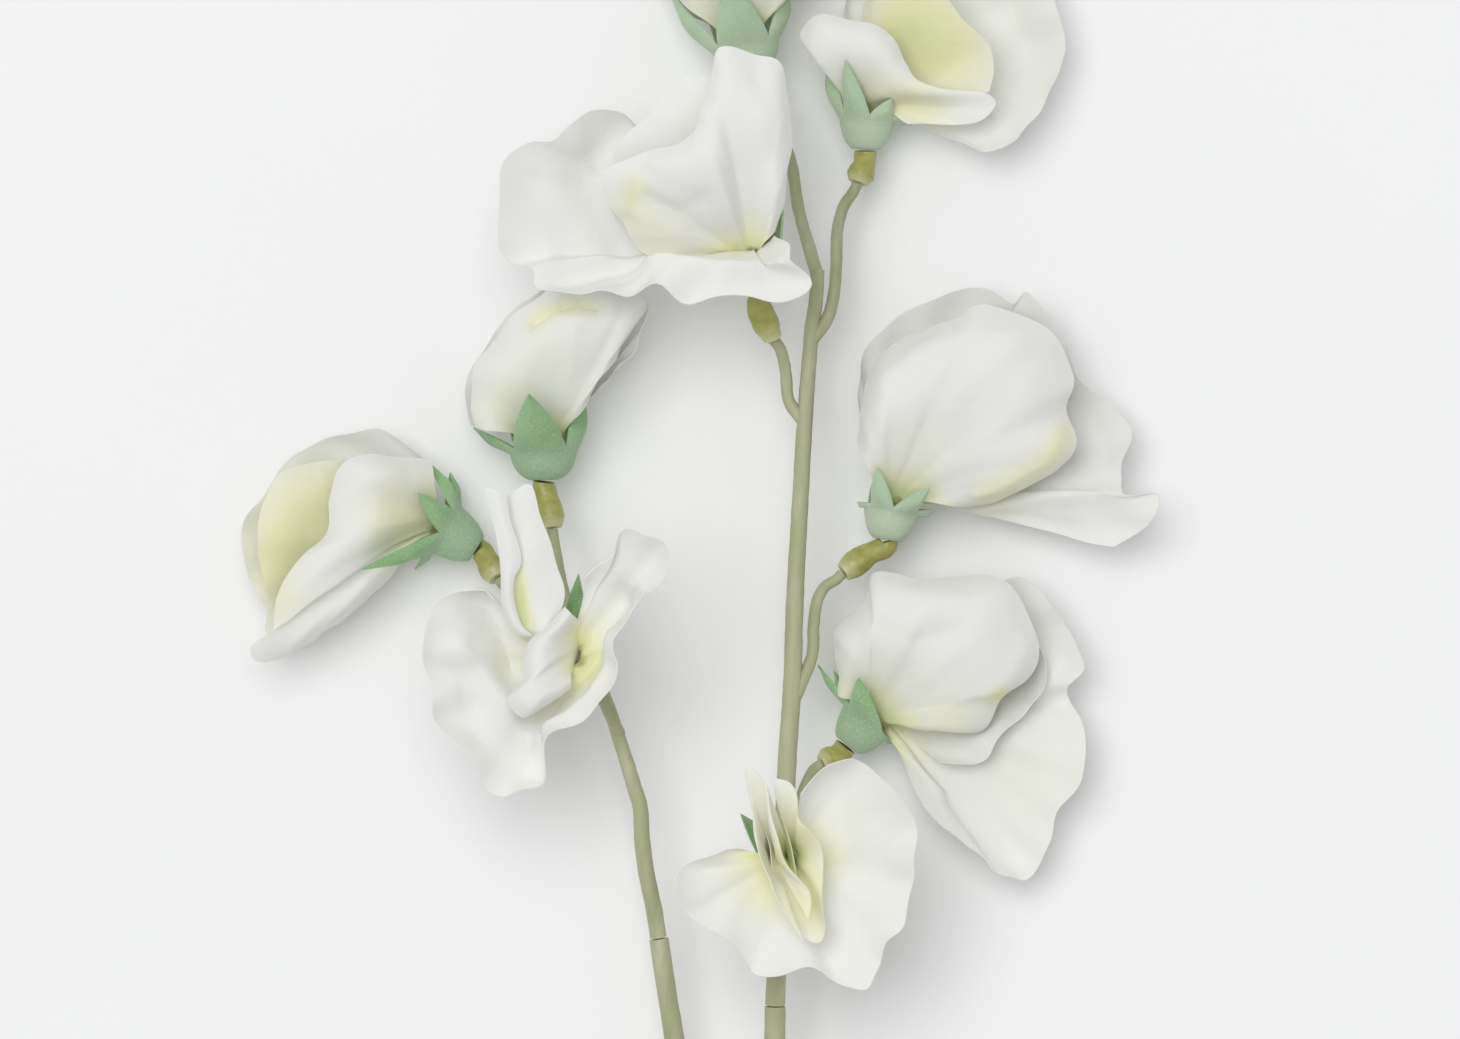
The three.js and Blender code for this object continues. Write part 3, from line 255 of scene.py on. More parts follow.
# The way of each collar, from the calyx down to where its stalk goes in.
COLLARS = {
    "bloom_1": [(82.9, 96.4, 10.5)],
    "bloom_2": [(91.4, 84, 12.1), (92, 88, 12.8)],
    "bloom_3": [(98.6, 112.6, 24.1)],
    "bloom_4": [(126.5, 50.8, 21.5), (128.7, 56.3, 19)],
    "bloom_5": [(126.4, 14.5, 11.8), (128, 18, 11.9)],
    "bloom_6": [(144, 27.5, 9.6), (143, 30.3, 10.1)],
    "bloom_7": [(144.5, 92.6, 11.1), (140.6, 95.4, 11.9)],
    "bloom_8": [(139.4, 126.2, 10.9), (137, 127.4, 11.7)],
    "bloom_9": [(132.2, 149.4, 24.1)],
}
SEAT_GAP = 0.3  # what is left between a piece and the one that it is fixed to


def stalk(name):
    """A flower stalk, thickest where it leaves the branch."""
    end = np.array(COLLARS[name][-1], float)
    ahead = np.array(STALKS[name][0]) - end
    start = end + ahead / np.linalg.norm(ahead) * SEAT_GAP
    radii = [STALK_RADIUS * 0.92, STALK_RADIUS, STALK_RADIUS, STALK_RADIUS * 1.12]
    return rod([tuple(start), *STALKS[name]], radii, STALK_SIDES, STALK_RING_MM,
               sum(map(ord, name)), STALK_ROUGH)


LEFT_BLOOMS = ["bloom_1", "bloom_2", "bloom_3"]
MAIN_BLOOMS = ["bloom_4", "bloom_5", "bloom_6", "bloom_7", "bloom_8", "bloom_9"]
for name, spine, radii, blooms in (("left_branch", LEFT_BRANCH, LEFT_BRANCH_RADII, LEFT_BLOOMS),
                                   ("main_branch", MAIN_BRANCH, MAIN_BRANCH_RADII, MAIN_BLOOMS)):
    shapes = [rod(spine, radii, STEM_SIDES, BRANCH_RING_MM, 3)]
    shapes += [stalk(bloom) for bloom in blooms]
    piece(name, joined(shapes), stem_skin, "stem")


# ---- The calyxes ----
# Each is a cup with five pointed sepals, pressed from green velvet-flocked cloth and hot-glued
# under the petals. The flock is pale and bluish at the foot of the cup and greener on the sepals.
CALYXES = {
    "bloom_1": dict(lift=8.2, foot=(79.3, 91.5, 0), floor=(74.4, 88.4, 0),
        up=(0, 0, 1), radius=4.6,
        tips=[(71.7, 77.3, 2.5), (75, 78.7, -3), (69.7, 82.2, 9), (60.3, 95, 15), (69, 95, -7)]),
    "bloom_2": dict(lift=11.5, foot=(90.6, 80, 0), floor=(90.5, 75.6, 0),
        up=(0, 0, 1), radius=5.6,
        tips=[(78.7, 71.3, -3.5), (88.2, 65.8, 19.5), (97, 64.2, 0), (96, 67, -7.5), (84, 68, -11.5)]),
    "bloom_3": dict(lift=32.5, foot=(97, 110.2, -4.6), floor=(95.8, 108.9, -0.6),
        up=(0, -1, 0), radius=3.9,
        tips=[(96.6, 95.5, 6), (100.9, 105.2, -0.6), (99.7, 112.3, 1.3), (92.9, 114.4, -1.1),
              (89.2, 107.2, -3.4)]),
    "bloom_4": dict(lift=29.5, foot=(127.2, 45.4, -4.6), floor=(126.2, 42.8, -1.2),
        up=(0, -1, 0), radius=3.9,
        tips=[(130.4, 33.5, 3), (131, 44.6, 0.4), (126.7, 47.6, 0.3), (120.1, 45.1, -3.4),
              (122.1, 37.9, -3.6)]),
    "bloom_5": dict(lift=11.5, foot=(125.3, 12, 0), floor=(124.3, 7.7, 0),
        up=(0, 0, 1), radius=5.6,
        tips=[(111.7, -1, -1.5), (121, -3.5, 13.5), (131.5, -3, -0.5), (129, -2, -7.5),
              (117, -3, -11)]),
    "bloom_6": dict(lift=9.1, foot=(144.3, 24.7, 0), floor=(144.5, 19.9, 0),
        up=(0, 0, 1), radius=4.6,
        tips=[(137.7, 9.7, 1.5), (140.8, 10, 10.5), (148.6, 16.5, 6), (152, 20.8, 0), (146, 11, -9)]),
    "bloom_7": dict(lift=10.6, foot=(147.8, 90, 0), floor=(148.6, 85.4, 0),
        up=(0, 0, 1), radius=4.6,
        tips=[(142.8, 83.8, 1.5), (146.2, 78, 9), (155, 81.2, 10.5), (156, 85.2, 0.5),
              (147.5, 77, -10.5)]),
    "bloom_8": dict(lift=10.1, foot=(141.2, 124.3, 0), floor=(144.2, 120.6, 0),
        up=(0, 0, 1), radius=4.6,
        tips=[(136.3, 111, 2), (143, 113, 11.5), (148.5, 124.2, -1), (149, 121, -10), (139, 112, -6)]),
    "bloom_9": dict(lift=32.5, foot=(131.7, 146.2, -4.6), floor=(131, 144.2, -0.6),
        up=(-0.3, -1, 0), radius=3.9,
        tips=[(123.3, 135.3, 6), (133.3, 137.8, -4), (137.2, 143.9, -1.6), (132.2, 148.9, -1.5),
              (125.3, 147.1, -2.2)]),
}
CALYX_FOOT_RADIUS = 2.3
SEPAL_THICKNESS = 0.5
SEPAL_BOW = 0.09  # how far a sepal bulges, as a share of its length
SEPAL_ROWS = 14
SEPAL_COLUMNS = 7  # on each side of a sepal's middle
CUP_ROWS = 7
CUP_SWELL_HEIGHT = 0.35  # how far up the cup it bulges, as a share of its depth
CUP_SWELL_RADIUS = 0.8
NOTCH_HEIGHT = 1.0
NOTCH_FLARE = 1.05
FLANK_SPREAD = 0.2  # how much wider a sepal is than its tip and notch alone would make it
SEPAL_FOLD = 0.35  # how far a sepal's middle stands proud of its flanks
FOLD_START = 0.35  # where the fold starts, from a sepal's flank to its middle
FOLD_GAIN = 2.4  # brings the fold to its full height at the middle
SEPAL_GREEN = "#a6cb96"
SEPAL_SHADE = "#7da673"
CALYX_FOOT = "#9ab592"
FLOCK_PALE = "#d3ddcb"
FLOCK_SHEEN = "#dfe9dc"
SEPAL_CLOUD_MM = 5.0
FLOCK_MM = 0.45  # the flock is 0.1 mm, drawn coarser so that it shows


def unit(v):
    return v / np.linalg.norm(v)


def directions(name):
    """The foot, the floor and the own directions of a bloom's calyx, in metres."""
    c = CALYXES[name]
    raised = [place(p[0], p[1], p[2] + c["lift"]) for p in (c["foot"], c["floor"])]
    out = unit(raised[1] - raised[0])
    up = np.array([c["up"][0], -c["up"][1], c["up"][2]], float)
    up = unit(up - out * up.dot(out))
    return raised[0], raised[1], out, up, np.cross(up, out)


def calyx(name):
    """The skin of a cup with five sepals: corners, faces, and how near each is to a sepal's tip."""
    c = CALYXES[name]
    foot, floor, out, up, across = directions(name)
    depth = np.linalg.norm(floor - foot)
    radius = c["radius"] / 1000
    thickness = SEPAL_THICKNESS / 1000

    def ring(height, r, angle):
        return foot + out * height + across * r * math.cos(angle) + up * r * math.sin(angle)

    sepals = []
    for x, y, z in c["tips"]:
        tip = place(x, y, z + c["lift"])
        away = tip - foot
        sepals.append((math.atan2(away.dot(up), away.dot(across)), tip))
    sepals.sort(key=lambda s: s[0])
    outside, inside, rise = [], [], []
    for k, (angle, tip) in enumerate(sepals):
        after = sepals[(k + 1) % 5][0] + (2 * math.pi if k == 4 else 0)
        before = sepals[k - 1][0] - (2 * math.pi if k == 0 else 0)
        middle = ring(depth + NOTCH_HEIGHT / 1000, radius, angle)
        centre = ring(depth, radius, angle)
        along = tip - centre
        sepal_side = unit(centre - floor)
        inward = unit(sepal_side * -along.dot(out) + out * along.dot(sepal_side))
        for notch_angle, steps in (
                ((before + angle) / 2, range(SEPAL_COLUMNS)),
                ((angle + after) / 2, range(SEPAL_COLUMNS, 0, -1))):
            notch = ring(depth + NOTCH_HEIGHT / 1000, radius * NOTCH_FLARE, notch_angle)
            flank = (notch + tip) / 2 + FLANK_SPREAD * (notch - middle)
            for step in steps:
                u = step / SEPAL_COLUMNS
                end = notch * (1 - u) * (1 - 2 * u) + flank * 4 * u * (1 - u) + tip * u * (2 * u - 1)
                here = notch_angle + (angle - notch_angle) * u
                wall = ring(depth, radius, here)
                notch_side = unit(ring(depth, radius, notch_angle) - floor)
                way_in = unit(inward * u - notch_side * (1 - u))
                bulge = unit(wall - floor)
                length = np.linalg.norm(end - wall)
                column, inner = [], []
                low = ring(0, CALYX_FOOT_RADIUS / 1000, here)
                base = ring(CUP_SWELL_HEIGHT * depth, CUP_SWELL_RADIUS * radius, here)
                for v in np.linspace(0, 1, CUP_ROWS):
                    p = low * (1 - v) * (1 - 2 * v) + base * 4 * v * (1 - v) + wall * v * (2 * v - 1)
                    column.append(p)
                    rise.append(0)
                inner.append(wall + unit(floor - wall) * thickness)
                fold = SEPAL_FOLD / 1000 * max(0, u - FOLD_START) ** 2 * FOLD_GAIN
                for v in np.linspace(0, 1, SEPAL_ROWS + 1)[1:]:
                    p = wall * (1 - v) + end * v + bulge * SEPAL_BOW * length * math.sin(math.pi * v)
                    p = p - way_in * fold * math.sin(math.pi * min(1, v * 1.2)) ** 2
                    column.append(p)
                    inner.append(p + way_in * thickness * (1 - 0.5 * v ** 3))
                    rise.append(v * length * 1000)
                outside.append(column)
                inside.append(inner)
    rows, inner_rows, columns = len(outside[0]), len(inside[0]), len(outside)
    corners = [p for column in outside for p in column] + [p for column in inside for p in column]
    first = columns * rows
    corners += [foot, floor]
    marks = rise + [r for k in range(columns) for r in ([0] + rise[k * rows + CUP_ROWS:(k + 1) * rows])]
    marks += [0, 0]
    faces = []
    for i in range(columns):
        n = (i + 1) % columns
        for j in range(rows - 1):
            faces.append((i * rows + j, i * rows + j + 1, n * rows + j + 1, n * rows + j))
        for j in range(inner_rows - 1):
            a, b = first + i * inner_rows + j, first + n * inner_rows + j
            faces.append((a, b, b + 1, a + 1))
        faces.append((i * rows + rows - 1, first + i * inner_rows + inner_rows - 1,
                      first + n * inner_rows + inner_rows - 1, n * rows + rows - 1))
        faces.append((len(corners) - 2, i * rows, n * rows))
        faces.append((len(corners) - 1, first + n * inner_rows, first + i * inner_rows))
    return corners, faces, marks


# Velvet-flocked cloth: short fibres that scatter light, so it is matt, paler at a slant, and
# speckled. It is bluish and pale at the foot and a clearer green up the sepals.
flocked_cloth, tree = new_material("velvet-flocked cloth")
where = add(tree, "TexCoord").outputs["Object"]
up_sepal = add(tree, "Attribute", attribute_name="rise").outputs["Fac"]
fibres = add(tree, "TexNoise", {"Vector": where, "Scale": 1000 / FLOCK_MM, "Detail": 4,
    "Roughness": 0.7})
clouds = add(tree, "TexNoise", {"Vector": where, "Scale": 1000 / SEPAL_CLOUD_MM, "Detail": 3})
greener = add(tree, "MapRange", {"Value": up_sepal, "From Min": 0.0, "From Max": 4.0})
leaf = add(tree, "Mix", {"Factor": clouds, "A": linear(SEPAL_SHADE), "B": linear(SEPAL_GREEN)},
    data_type="RGBA")
cup = add(tree, "Mix", {"Factor": greener, "A": linear(CALYX_FOOT), "B": leaf}, data_type="RGBA")
speckle = add(tree, "MapRange", {"Value": fibres, "From Min": 0.52, "From Max": 0.72, "To Max": 0.55})
flock = add(tree, "Mix", {"Factor": speckle, "A": cup, "B": linear(FLOCK_PALE)}, data_type="RGBA")
rubbed = add(tree, "Attribute", attribute_name="pale").outputs["Fac"]
paled = add(tree, "Mix", {"Factor": rubbed, "A": flock, "B": linear(FLOCK_PALE)}, data_type="RGBA")
nap = add(tree, "Bump", {"Height": fibres, "Strength": 0.6, "Distance": 0.0002})
shader = add(tree, "BsdfPrincipled", {"Base Color": paled, "Roughness": 0.95, "IOR": 1.45,
    "Normal": nap, "Specular IOR Level": 0.2, "Sheen Weight": 0.35, "Sheen Roughness": 0.5,
    "Sheen Tint": linear(FLOCK_SHEEN)})
add(tree, "OutputMaterial", {"Surface": shader})

CALYX_SHARP = 70  # edges turned by more than this many degrees stay sharp
PALER_CALYXES = {"bloom_5": 0.4, "bloom_6": 0.45, "bloom_7": 0.5, "bloom_4": 0.2}
for name in CALYXES:
    shape = calyx(name)
    piece(name + "_calyx", shape, flocked_cloth, "calyx", CALYX_SHARP,
          pale=[PALER_CALYXES.get(name, 0)] * len(shape[0]))


# ---- The collars ----
# Each is a short sleeve of clear olive PVC tube pushed over the stalk and glued to the calyx. It
# swells to a lumpy bead where the glue has run.
COLLAR_RADIUS = 1.9
COLLAR_BEAD_RADIUS = 2.3
COLLAR_SIDES = 24
COLLAR_RING_MM = 0.35
COLLAR_SEED = 40
COLLAR_LUMP_MM = 1.8
COLLAR_OLIVE = "#9b9b52"
COLLAR_AMBER = "#adaa62"
COLLAR_GLUE = "#c9c8a4"


def collar(name):
    """The sleeve from the foot of the calyx to the end of the stalk."""
    foot, _, out, _, _ = directions(name)

    def behind(distance):
        p = (foot - out * distance / 1000) * 1000
        return (p[0] + SHEET_MIDDLE[0], SHEET_MIDDLE[1] - p[1], p[2])

    points = [behind(SEAT_GAP), behind(4 * SEAT_GAP), *COLLARS[name]]
    radii = [COLLAR_RADIUS * 0.98, COLLAR_RADIUS, COLLAR_RADIUS * 0.97, COLLAR_BEAD_RADIUS * 0.97,
             COLLAR_BEAD_RADIUS, COLLAR_RADIUS * 0.86]
    return rod(points, radii, COLLAR_SIDES, COLLAR_RING_MM, COLLAR_SEED + sum(map(ord, name)))


# Plasticised PVC: a waxy, slightly see-through olive that gathers amber where it is thick, with a
# soft gloss, and milky glue at its lower end.
clear_pvc, tree = new_material("plasticised PVC tube")
where = add(tree, "TexCoord").outputs["Object"]
down_tube = add(tree, "Attribute", attribute_name="rise").outputs["Fac"]
lumps = add(tree, "TexNoise", {"Vector": where, "Scale": 1000 / COLLAR_LUMP_MM, "Detail": 3})
amber = add(tree, "MapRange", {"Value": lumps, "From Min": 0.35, "From Max": 0.65})
tube = add(tree, "Mix", {"Factor": amber, "A": linear(COLLAR_OLIVE), "B": linear(COLLAR_AMBER)},
    data_type="RGBA")
run_out = add(tree, "MapRange", {"Value": down_tube, "From Min": 0.74, "From Max": 0.96, "To Max": 0.7})
tinted = add(tree, "Mix", {"Factor": run_out, "A": tube, "B": linear(COLLAR_GLUE)}, data_type="RGBA")
dents = add(tree, "Bump", {"Height": lumps, "Strength": 0.5, "Distance": 0.0006})
shader = add(tree, "BsdfPrincipled", {"Base Color": tinted, "Roughness": 0.38, "IOR": 1.53,
    "Normal": dents, "Subsurface Weight": 0.45, "Subsurface Radius": (0.0016, 0.0014, 0.0006),
    "Subsurface Scale": 1.0})
add(tree, "OutputMaterial", {"Surface": shader})

for name in COLLARS:
    piece(name + "_collar", collar(name), clear_pvc, "collar")


# ---- The standards ----
# The standard is the broad wavy back petal. It is die-cut from white polyester cloth, heat-formed
# over a ball so that it cups and ripples, and tinted yellow-green by hand at the claw.
STANDARDS = {
    "bloom_1": dict(seat=(0, -1.9), width=4, reach=5, edge=[
        (70.8, 76.6, -3, -1), (67.3, 73.8, -1, -1.5), (63, 71.5, 0.4, -1.7), (58.3, 72, 0.8, -2),
        (51.3, 74.3, 1.6, -2.2), (46.8, 78, 2, -2.2), (43.3, 82.8, 2.4, -2.2), (40.4, 86.7, 2.4, -2.2),
        (40.4, 93.3, 2, -2.2), (42.5, 98.3, 1.2, -2), (44.3, 102, 0.4, -1.7), (44.4, 105.6, 0, -1.5),
        (50, 106, -2, -1.2), (57.5, 100.7, -3, -1)]),
    "bloom_2": dict(seat=(0, -1.9), width=5, reach=5, edge=[
        (78.6, 70.6, -1.5, -0.8), (77.2, 65.3, -1.5, -1.2), (79.7, 59.5, -0.5, -1.7),
        (84.2, 53.3, -0.5, -2), (89, 48.7, -1.5, -2.2), (95.8, 45.8, -1.5, -2.2),
        (101.7, 45.5, 0.5, -2.2), (106, 49, 3.5, -2), (108.7, 51.3, 4.5, -1.7),
        (106.7, 54.7, 4.5, -1.7), (103.7, 59.7, 2.5, -1.5), (100, 64, 0.5, -1), (98.3, 66, -1, -0.8)]),
    "bloom_3": dict(seat=(0, -0.9), ring=0.6, reach=5.5, edge=[
        (82.2, 101.5, 8.5, -1.6), (77.5, 99.8, 9.5, -2), (73, 100.8, 10.5, -2), (70.7, 108.3, 9.5, -2),
        (72.3, 113.7, 7.5, -2), (73, 118.7, 8.5, -2), (75.7, 123, 6.5, -1.6), (79.3, 126, 5.5, -1.6),
        (80.7, 130.8, 4.5, -1.2), (84.2, 132.7, 3.5, -0.8), (87.8, 130.5, 4.5, -1.2),
        (91.3, 124.7, 6.5, -1.6), (96.3, 120.3, 8.5, -1.6), (100.8, 116.2, 10.5, -1.6),
        (102.8, 111.3, 11.5, -2), (103.3, 106.7, 12.5, -2), (107.5, 100, 14.5, -2),
        (111.3, 91.3, 15.5, -2), (107.5, 88.7, 15.5, -1.6), (104.5, 88.3, 14.5, -1.6),
        (101.2, 93.7, 11.5, -1.2), (98, 96.7, 9.5, -1.2)]),
    "bloom_4": dict(seat=(0, -0.8), ring=0.6, reach=3, edge=[
        (105.7, 21.8, 1, -4), (99.7, 19, 2, -5), (95.3, 20.3, 2, -5), (91.7, 23.2, 2, -5),
        (88, 23.8, 3, -5), (84.2, 27.2, 4, -5), (83.3, 33.3, 4, -5), (83, 40.5, 3, -4),
        (85.3, 43.8, 2, -4), (88.8, 45, 3, -3), (89.7, 48.3, 4, -3), (96.7, 49, 5, -2),
        (108.3, 49, 6, -1), (115, 50.7, 6, 0), (123.3, 50, 6, 0), (131.7, 50.7, 7, 0),
        (135, 48.3, 8, 0), (134.3, 44.7, 8, 0), (132.8, 40.3, 7, 0), (129.2, 39.3, 5, 0)]),
    "bloom_5": dict(seat=(0, -1.9), width=5, reach=5, edge=[
        (112.5, 1, -2, -1.4), (108, -8, 0, -2.2), (109, -17, 1, -3.1), (115, -25, 2, -3.6),
        (124, -28.3, 1, -4), (133, -26, 2, -3.6), (140, -19, 3, -3.1), (140, -10, 2, -2.2),
        (133, -1, 0, -1.4)]),
    "bloom_6": dict(seat=(0, -1.9), width=4, reach=5, edge=[
        (163.5, 23.9, 3, -2), (166.8, 24.6, 3, -2.2), (169.2, 23.6, 3, -2.5), (171, 21.6, 3, -2.7),
        (173.7, 17.7, 3, -3.1), (177, 10.3, 2, -3.6), (177.5, 6.7, 2, -4), (176.2, 0, 2, -4),
        (173.3, -6.7, 2, -4), (167.5, -12.5, 3, -4), (160, -15, 3, -4), (152.5, -14.2, 2, -3.6),
        (145.8, -10, 1, -3.1), (141.7, -4.2, 0, -2.7), (140.8, 1.7, -1, -1.8)]),
    "bloom_7": dict(seat=(0, -1.9), width=4, reach=5, edge=[
        (143.3, 67, 0, -1.5), (142.8, 63.3, 0.4, -1.7), (144.3, 58.7, 0.8, -2),
        (149.5, 52.7, 1.2, -2.2), (157.5, 49, 1.6, -2.2), (164.7, 48.2, 1.6, -2.2),
        (169, 50.5, 1.2, -2.2), (171.2, 48.5, 1.6, -2.2), (174.7, 52.3, 1.2, -2.2),
        (177.7, 56.7, 0.4, -2.2), (179.8, 62.7, -1, -4), (185.3, 67.3, -1, -3.6), (188.5, 72, 0, -3.6),
        (186.7, 77.7, 2, -3.1), (187.7, 82.2, 4, -3.1), (193, 82.5, 6, -2.7), (191.7, 87.2, 4, -2.2),
        (185.8, 91.2, 1, -1.8)]),
    "bloom_8": dict(seat=(0, -1.9), width=4, reach=4, edge=[
        (146.7, 106.7, -3, -1), (153.3, 100, -2, -1.7), (161.7, 98.3, -1, -2), (167.2, 96.7, 0, -2.2),
        (170.3, 96.2, 1, -2.2), (174.2, 99.2, 2, -2.2), (177.5, 104.2, 2, -2.2), (180, 108, 2, -2.2),
        (180.8, 111.7, 2, -2.2), (178.3, 114.3, 0, -2), (178.3, 116.7, -1, -2), (180.5, 120.3, 1, -2),
        (181, 124.2, 2, -2), (180.5, 130.3, 2, -2), (176.2, 135.7, 1, -1.7), (174.7, 141.3, 1, -1.7),
        (170.3, 147.2, 0, -1.5), (162.5, 141.7, 3, -1.2), (157.5, 138, 2, -1),
        (154.2, 134.7, 1, -0.8)]),
    "bloom_9": dict(seat=(0, -0.3), ring=0.6, reach=5.5, edge=[
        (123.5, 141.2, 3, -1), (119.7, 141.8, 5, -1.5), (116.2, 143.8, 6, -1.5),
        (112.5, 146.7, 7, -1.5), (113.8, 150.5, 6, -1.5), (115, 152.5, 5, -1.5),
        (119.7, 155.7, 4, -1.5), (124.7, 159.5, 3, -1.5), (126.2, 161.8, 3, -1.5),
        (130, 162.7, 3, -1.5), (135.3, 161.2, 4, -1.5), (140.3, 163.8, 3, -1.5),
        (144.3, 164.5, 3, -1.5), (145.5, 161.3, 4, -1.5), (147.5, 157, 5, -2), (150.5, 154.2, 6, -2),
        (151.3, 148.3, 6, -2), (152.7, 143.7, 7, -2), (151.8, 135.8, 8, -2), (149.2, 131.3, 8, -2),
        (143.7, 128, 7, -2), (140.8, 126.7, 8, -2), (135.8, 129, 7, -1.5), (133, 131.7, 7, -1.5)]),
}
CLOTH_THICKNESS = 0.2
SHOULDER = 0.62  # how far along a petal its swell pulls
SWELL_PULL = 2.25  # how hard, so that the sheet rises by the swell
CREASE_FALL = 1.3  # how sharply a crease falls away to its sides
RIPPLE_MM = 0.8  # how far the rim waves
RIM_WAVES = ((0.022, 0.8), (0.013, 0.7), (0.008, 0.4))  # length in metres, and share
RIM_SHARE = 0.55
DENTS = (0.016, 0.010)  # length in metres
DENT_SHARE = 0.22
PETAL_WHITE = "#efefea"
PETAL_COOL = "#e6e7e2"
CLAW_TINT = "#ebe9b9"
CLAW_GREEN = "#d3dca6"
CLAW_GLUE = "#8d7b48"
CLAW_TINT_REACH = 13.0  # how far up the petal the tint has faded, in mm
TINT_SPREAD_MM = 9.0  # from the least to the most that the tint reaches
GLUE_SPREAD_MM = 6.0
TINT_PATCH_MM = 9.0  # width of the patches in which the tint reaches further, or less far
COOL_PATCH_MM = 16.0
STAIN_MM = 2.2
STANDARD_GRID = (120, 36)
EVENING_PASSES = 40  # how often the sheet's normals are averaged before it is made thick
WEAVE_MM = 2.2  # the threads are 0.12 mm apart, drawn this much coarser so that they show
WAVE_TURN = 20  # how many radians a wave texture turns in a metre at a scale of 1


def fine_edge(edge, parts):
    """The outline of a petal with more points between the given ones."""
    e = np.array(edge, float)
    lengths = np.linalg.norm(np.diff(e[:, :3], axis=0), axis=1)
    spacing = lengths.sum() / parts
    found = []
    for k, length in enumerate(lengths):
        steps = max(1, int(round(length / spacing)))
        found += between(e[max(k - 1, 0)], e[k], e[k + 1], e[min(k + 2, len(e) - 1)], steps)
    return np.array(found + [e[-1]])


def claw_frame(bloom, spec):
    """The middle of a claw and the direction of its row."""
    _, floor, out, up, across = directions(bloom)
    turn = math.radians(spec.get("turn", 0))
    row = across * math.cos(turn) + up * math.sin(turn)
    root = floor + (across * spec["seat"][0] + up * spec["seat"][1] + out * SEAT_GAP) / 1000
    return root, row, out


def fan(bloom, spec, columns, rows):
    """The middle layer of a petal: a grid of points that fan out from the claw to the edge."""
    root, row, out = claw_frame(bloom, spec)
    lift = CALYXES[bloom]["lift"]
    edge = fine_edge(spec["edge"], columns)
    ends = np.array([place(x, y, z + lift) for x, y, z, _ in edge])
    if (ends[-1] - ends[0]).dot(row) < 0:
        row = -row
    t = np.linspace(0, 1, rows + 1)[:, None]
    grid = []
    for k, end in enumerate(ends):
        if "ring" in spec:
            toward = end - root
            claw = root + unit(toward - out * toward.dot(out)) * spec["ring"] / 1000
        else:
            claw = root + row * spec["width"] / 1000 * (k / (len(ends) - 1) - 0.5)
        shoulder = claw + (end - claw) * SHOULDER
        shoulder[2] += SWELL_PULL * edge[k][3] / 1000
        knee = claw + out * spec["reach"] / 1000
        grid.append((1 - t) ** 3 * claw + 3 * (1 - t) ** 2 * t * knee + 3 * (1 - t) * t ** 2 * shoulder
                    + t ** 3 * end)
    return np.array(grid)


def facing(grid):
    """The unit normals of a grid of points, averaged with their neighbours so that a thick sheet
    stays clear of itself."""
    field = np.cross(np.gradient(grid, axis=0), np.gradient(grid, axis=1))
    field /= np.linalg.norm(field, axis=2, keepdims=True) + 1e-12
    for _ in range(EVENING_PASSES):
        near = np.pad(field, ((1, 1), (1, 1), (0, 0)), mode="edge")
        field = near[1:-1, 1:-1] + near[:-2, 1:-1] + near[2:, 1:-1] + near[1:-1, :-2] + near[1:-1, 2:]
        field /= np.linalg.norm(field, axis=2, keepdims=True) + 1e-12
    return field


def folded(grid, folds):
    """How far each point is raised by creases, given as a line on the sheet, a width and a rise."""
    total = np.zeros(grid.shape[:2])
    flat = grid[..., :2] * 1000
    for line, width, rise in folds:
        corners = np.array([place(x, y, 0)[:2] * 1000 for x, y in line])
        nearest = np.full(total.shape, 1e9)
        for a, b in zip(corners, corners[1:]):
            along = b - a
            t = np.clip(((flat - a) @ along) / along.dot(along), 0, 1)
            nearest = np.minimum(nearest, np.linalg.norm(flat - (a + t[..., None] * along), axis=2))
        total += rise * np.exp(-(nearest / width) ** CREASE_FALL)
    return total / 1000


def dab_strengths(grid, dabs):
    """How strongly each point is dabbed, from dabs of a place, a radius and a strength. It is yellow up
    to 1 and turns green beyond. Most dabs are the claw's own dye; some are painted shade in hollows and
    slits, and one row is painted light where the keel shows through a wing."""
    total = np.zeros(grid.shape[:2])
    for x, y, radius, strength in dabs:
        gap = (grid[..., :2] - place(x, y, 0)[:2]) * 1000 / radius
        total += strength * np.exp(-(gap ** 2).sum(axis=2))
    return np.clip(total, 0, 2)


def ripples(grid, seed, height):
    """How far heat-forming has raised or lowered each point of the cloth, in metres."""
    random = np.random.default_rng(seed)
    reach = np.linalg.norm(np.diff(grid, axis=1), axis=2).sum(1)
    along = np.concatenate([[0], np.cumsum(np.linalg.norm(np.diff(grid[:, -1], axis=0), axis=1))])
    s = along[:, None] * np.ones(grid.shape[1])
    t = np.linspace(0, 1, grid.shape[1])[None, :]
    r = reach[:, None] * t
    wave = np.zeros(s.shape)
    for length, share in RIM_WAVES:
        for _ in range(2):
            phase, slant = random.uniform(0, 2 * math.pi), random.uniform(-0.6, 0.6)
            wave += share * np.sin(2 * math.pi * (s + slant * r) / length + phase)
    dents = np.zeros(s.shape)
    for length in DENTS:
        for _ in range(3):
            phase, turn = random.uniform(0, 2 * math.pi), random.uniform(0, math.pi)
            here = grid[..., 0] * math.cos(turn) + grid[..., 1] * math.sin(turn)
            dents += np.sin(2 * math.pi * here / length + phase)
    return height * (RIM_SHARE * wave * t ** 3
                     + DENT_SHARE * dents * np.clip(t * 1.6 - 0.25, 0, 1))


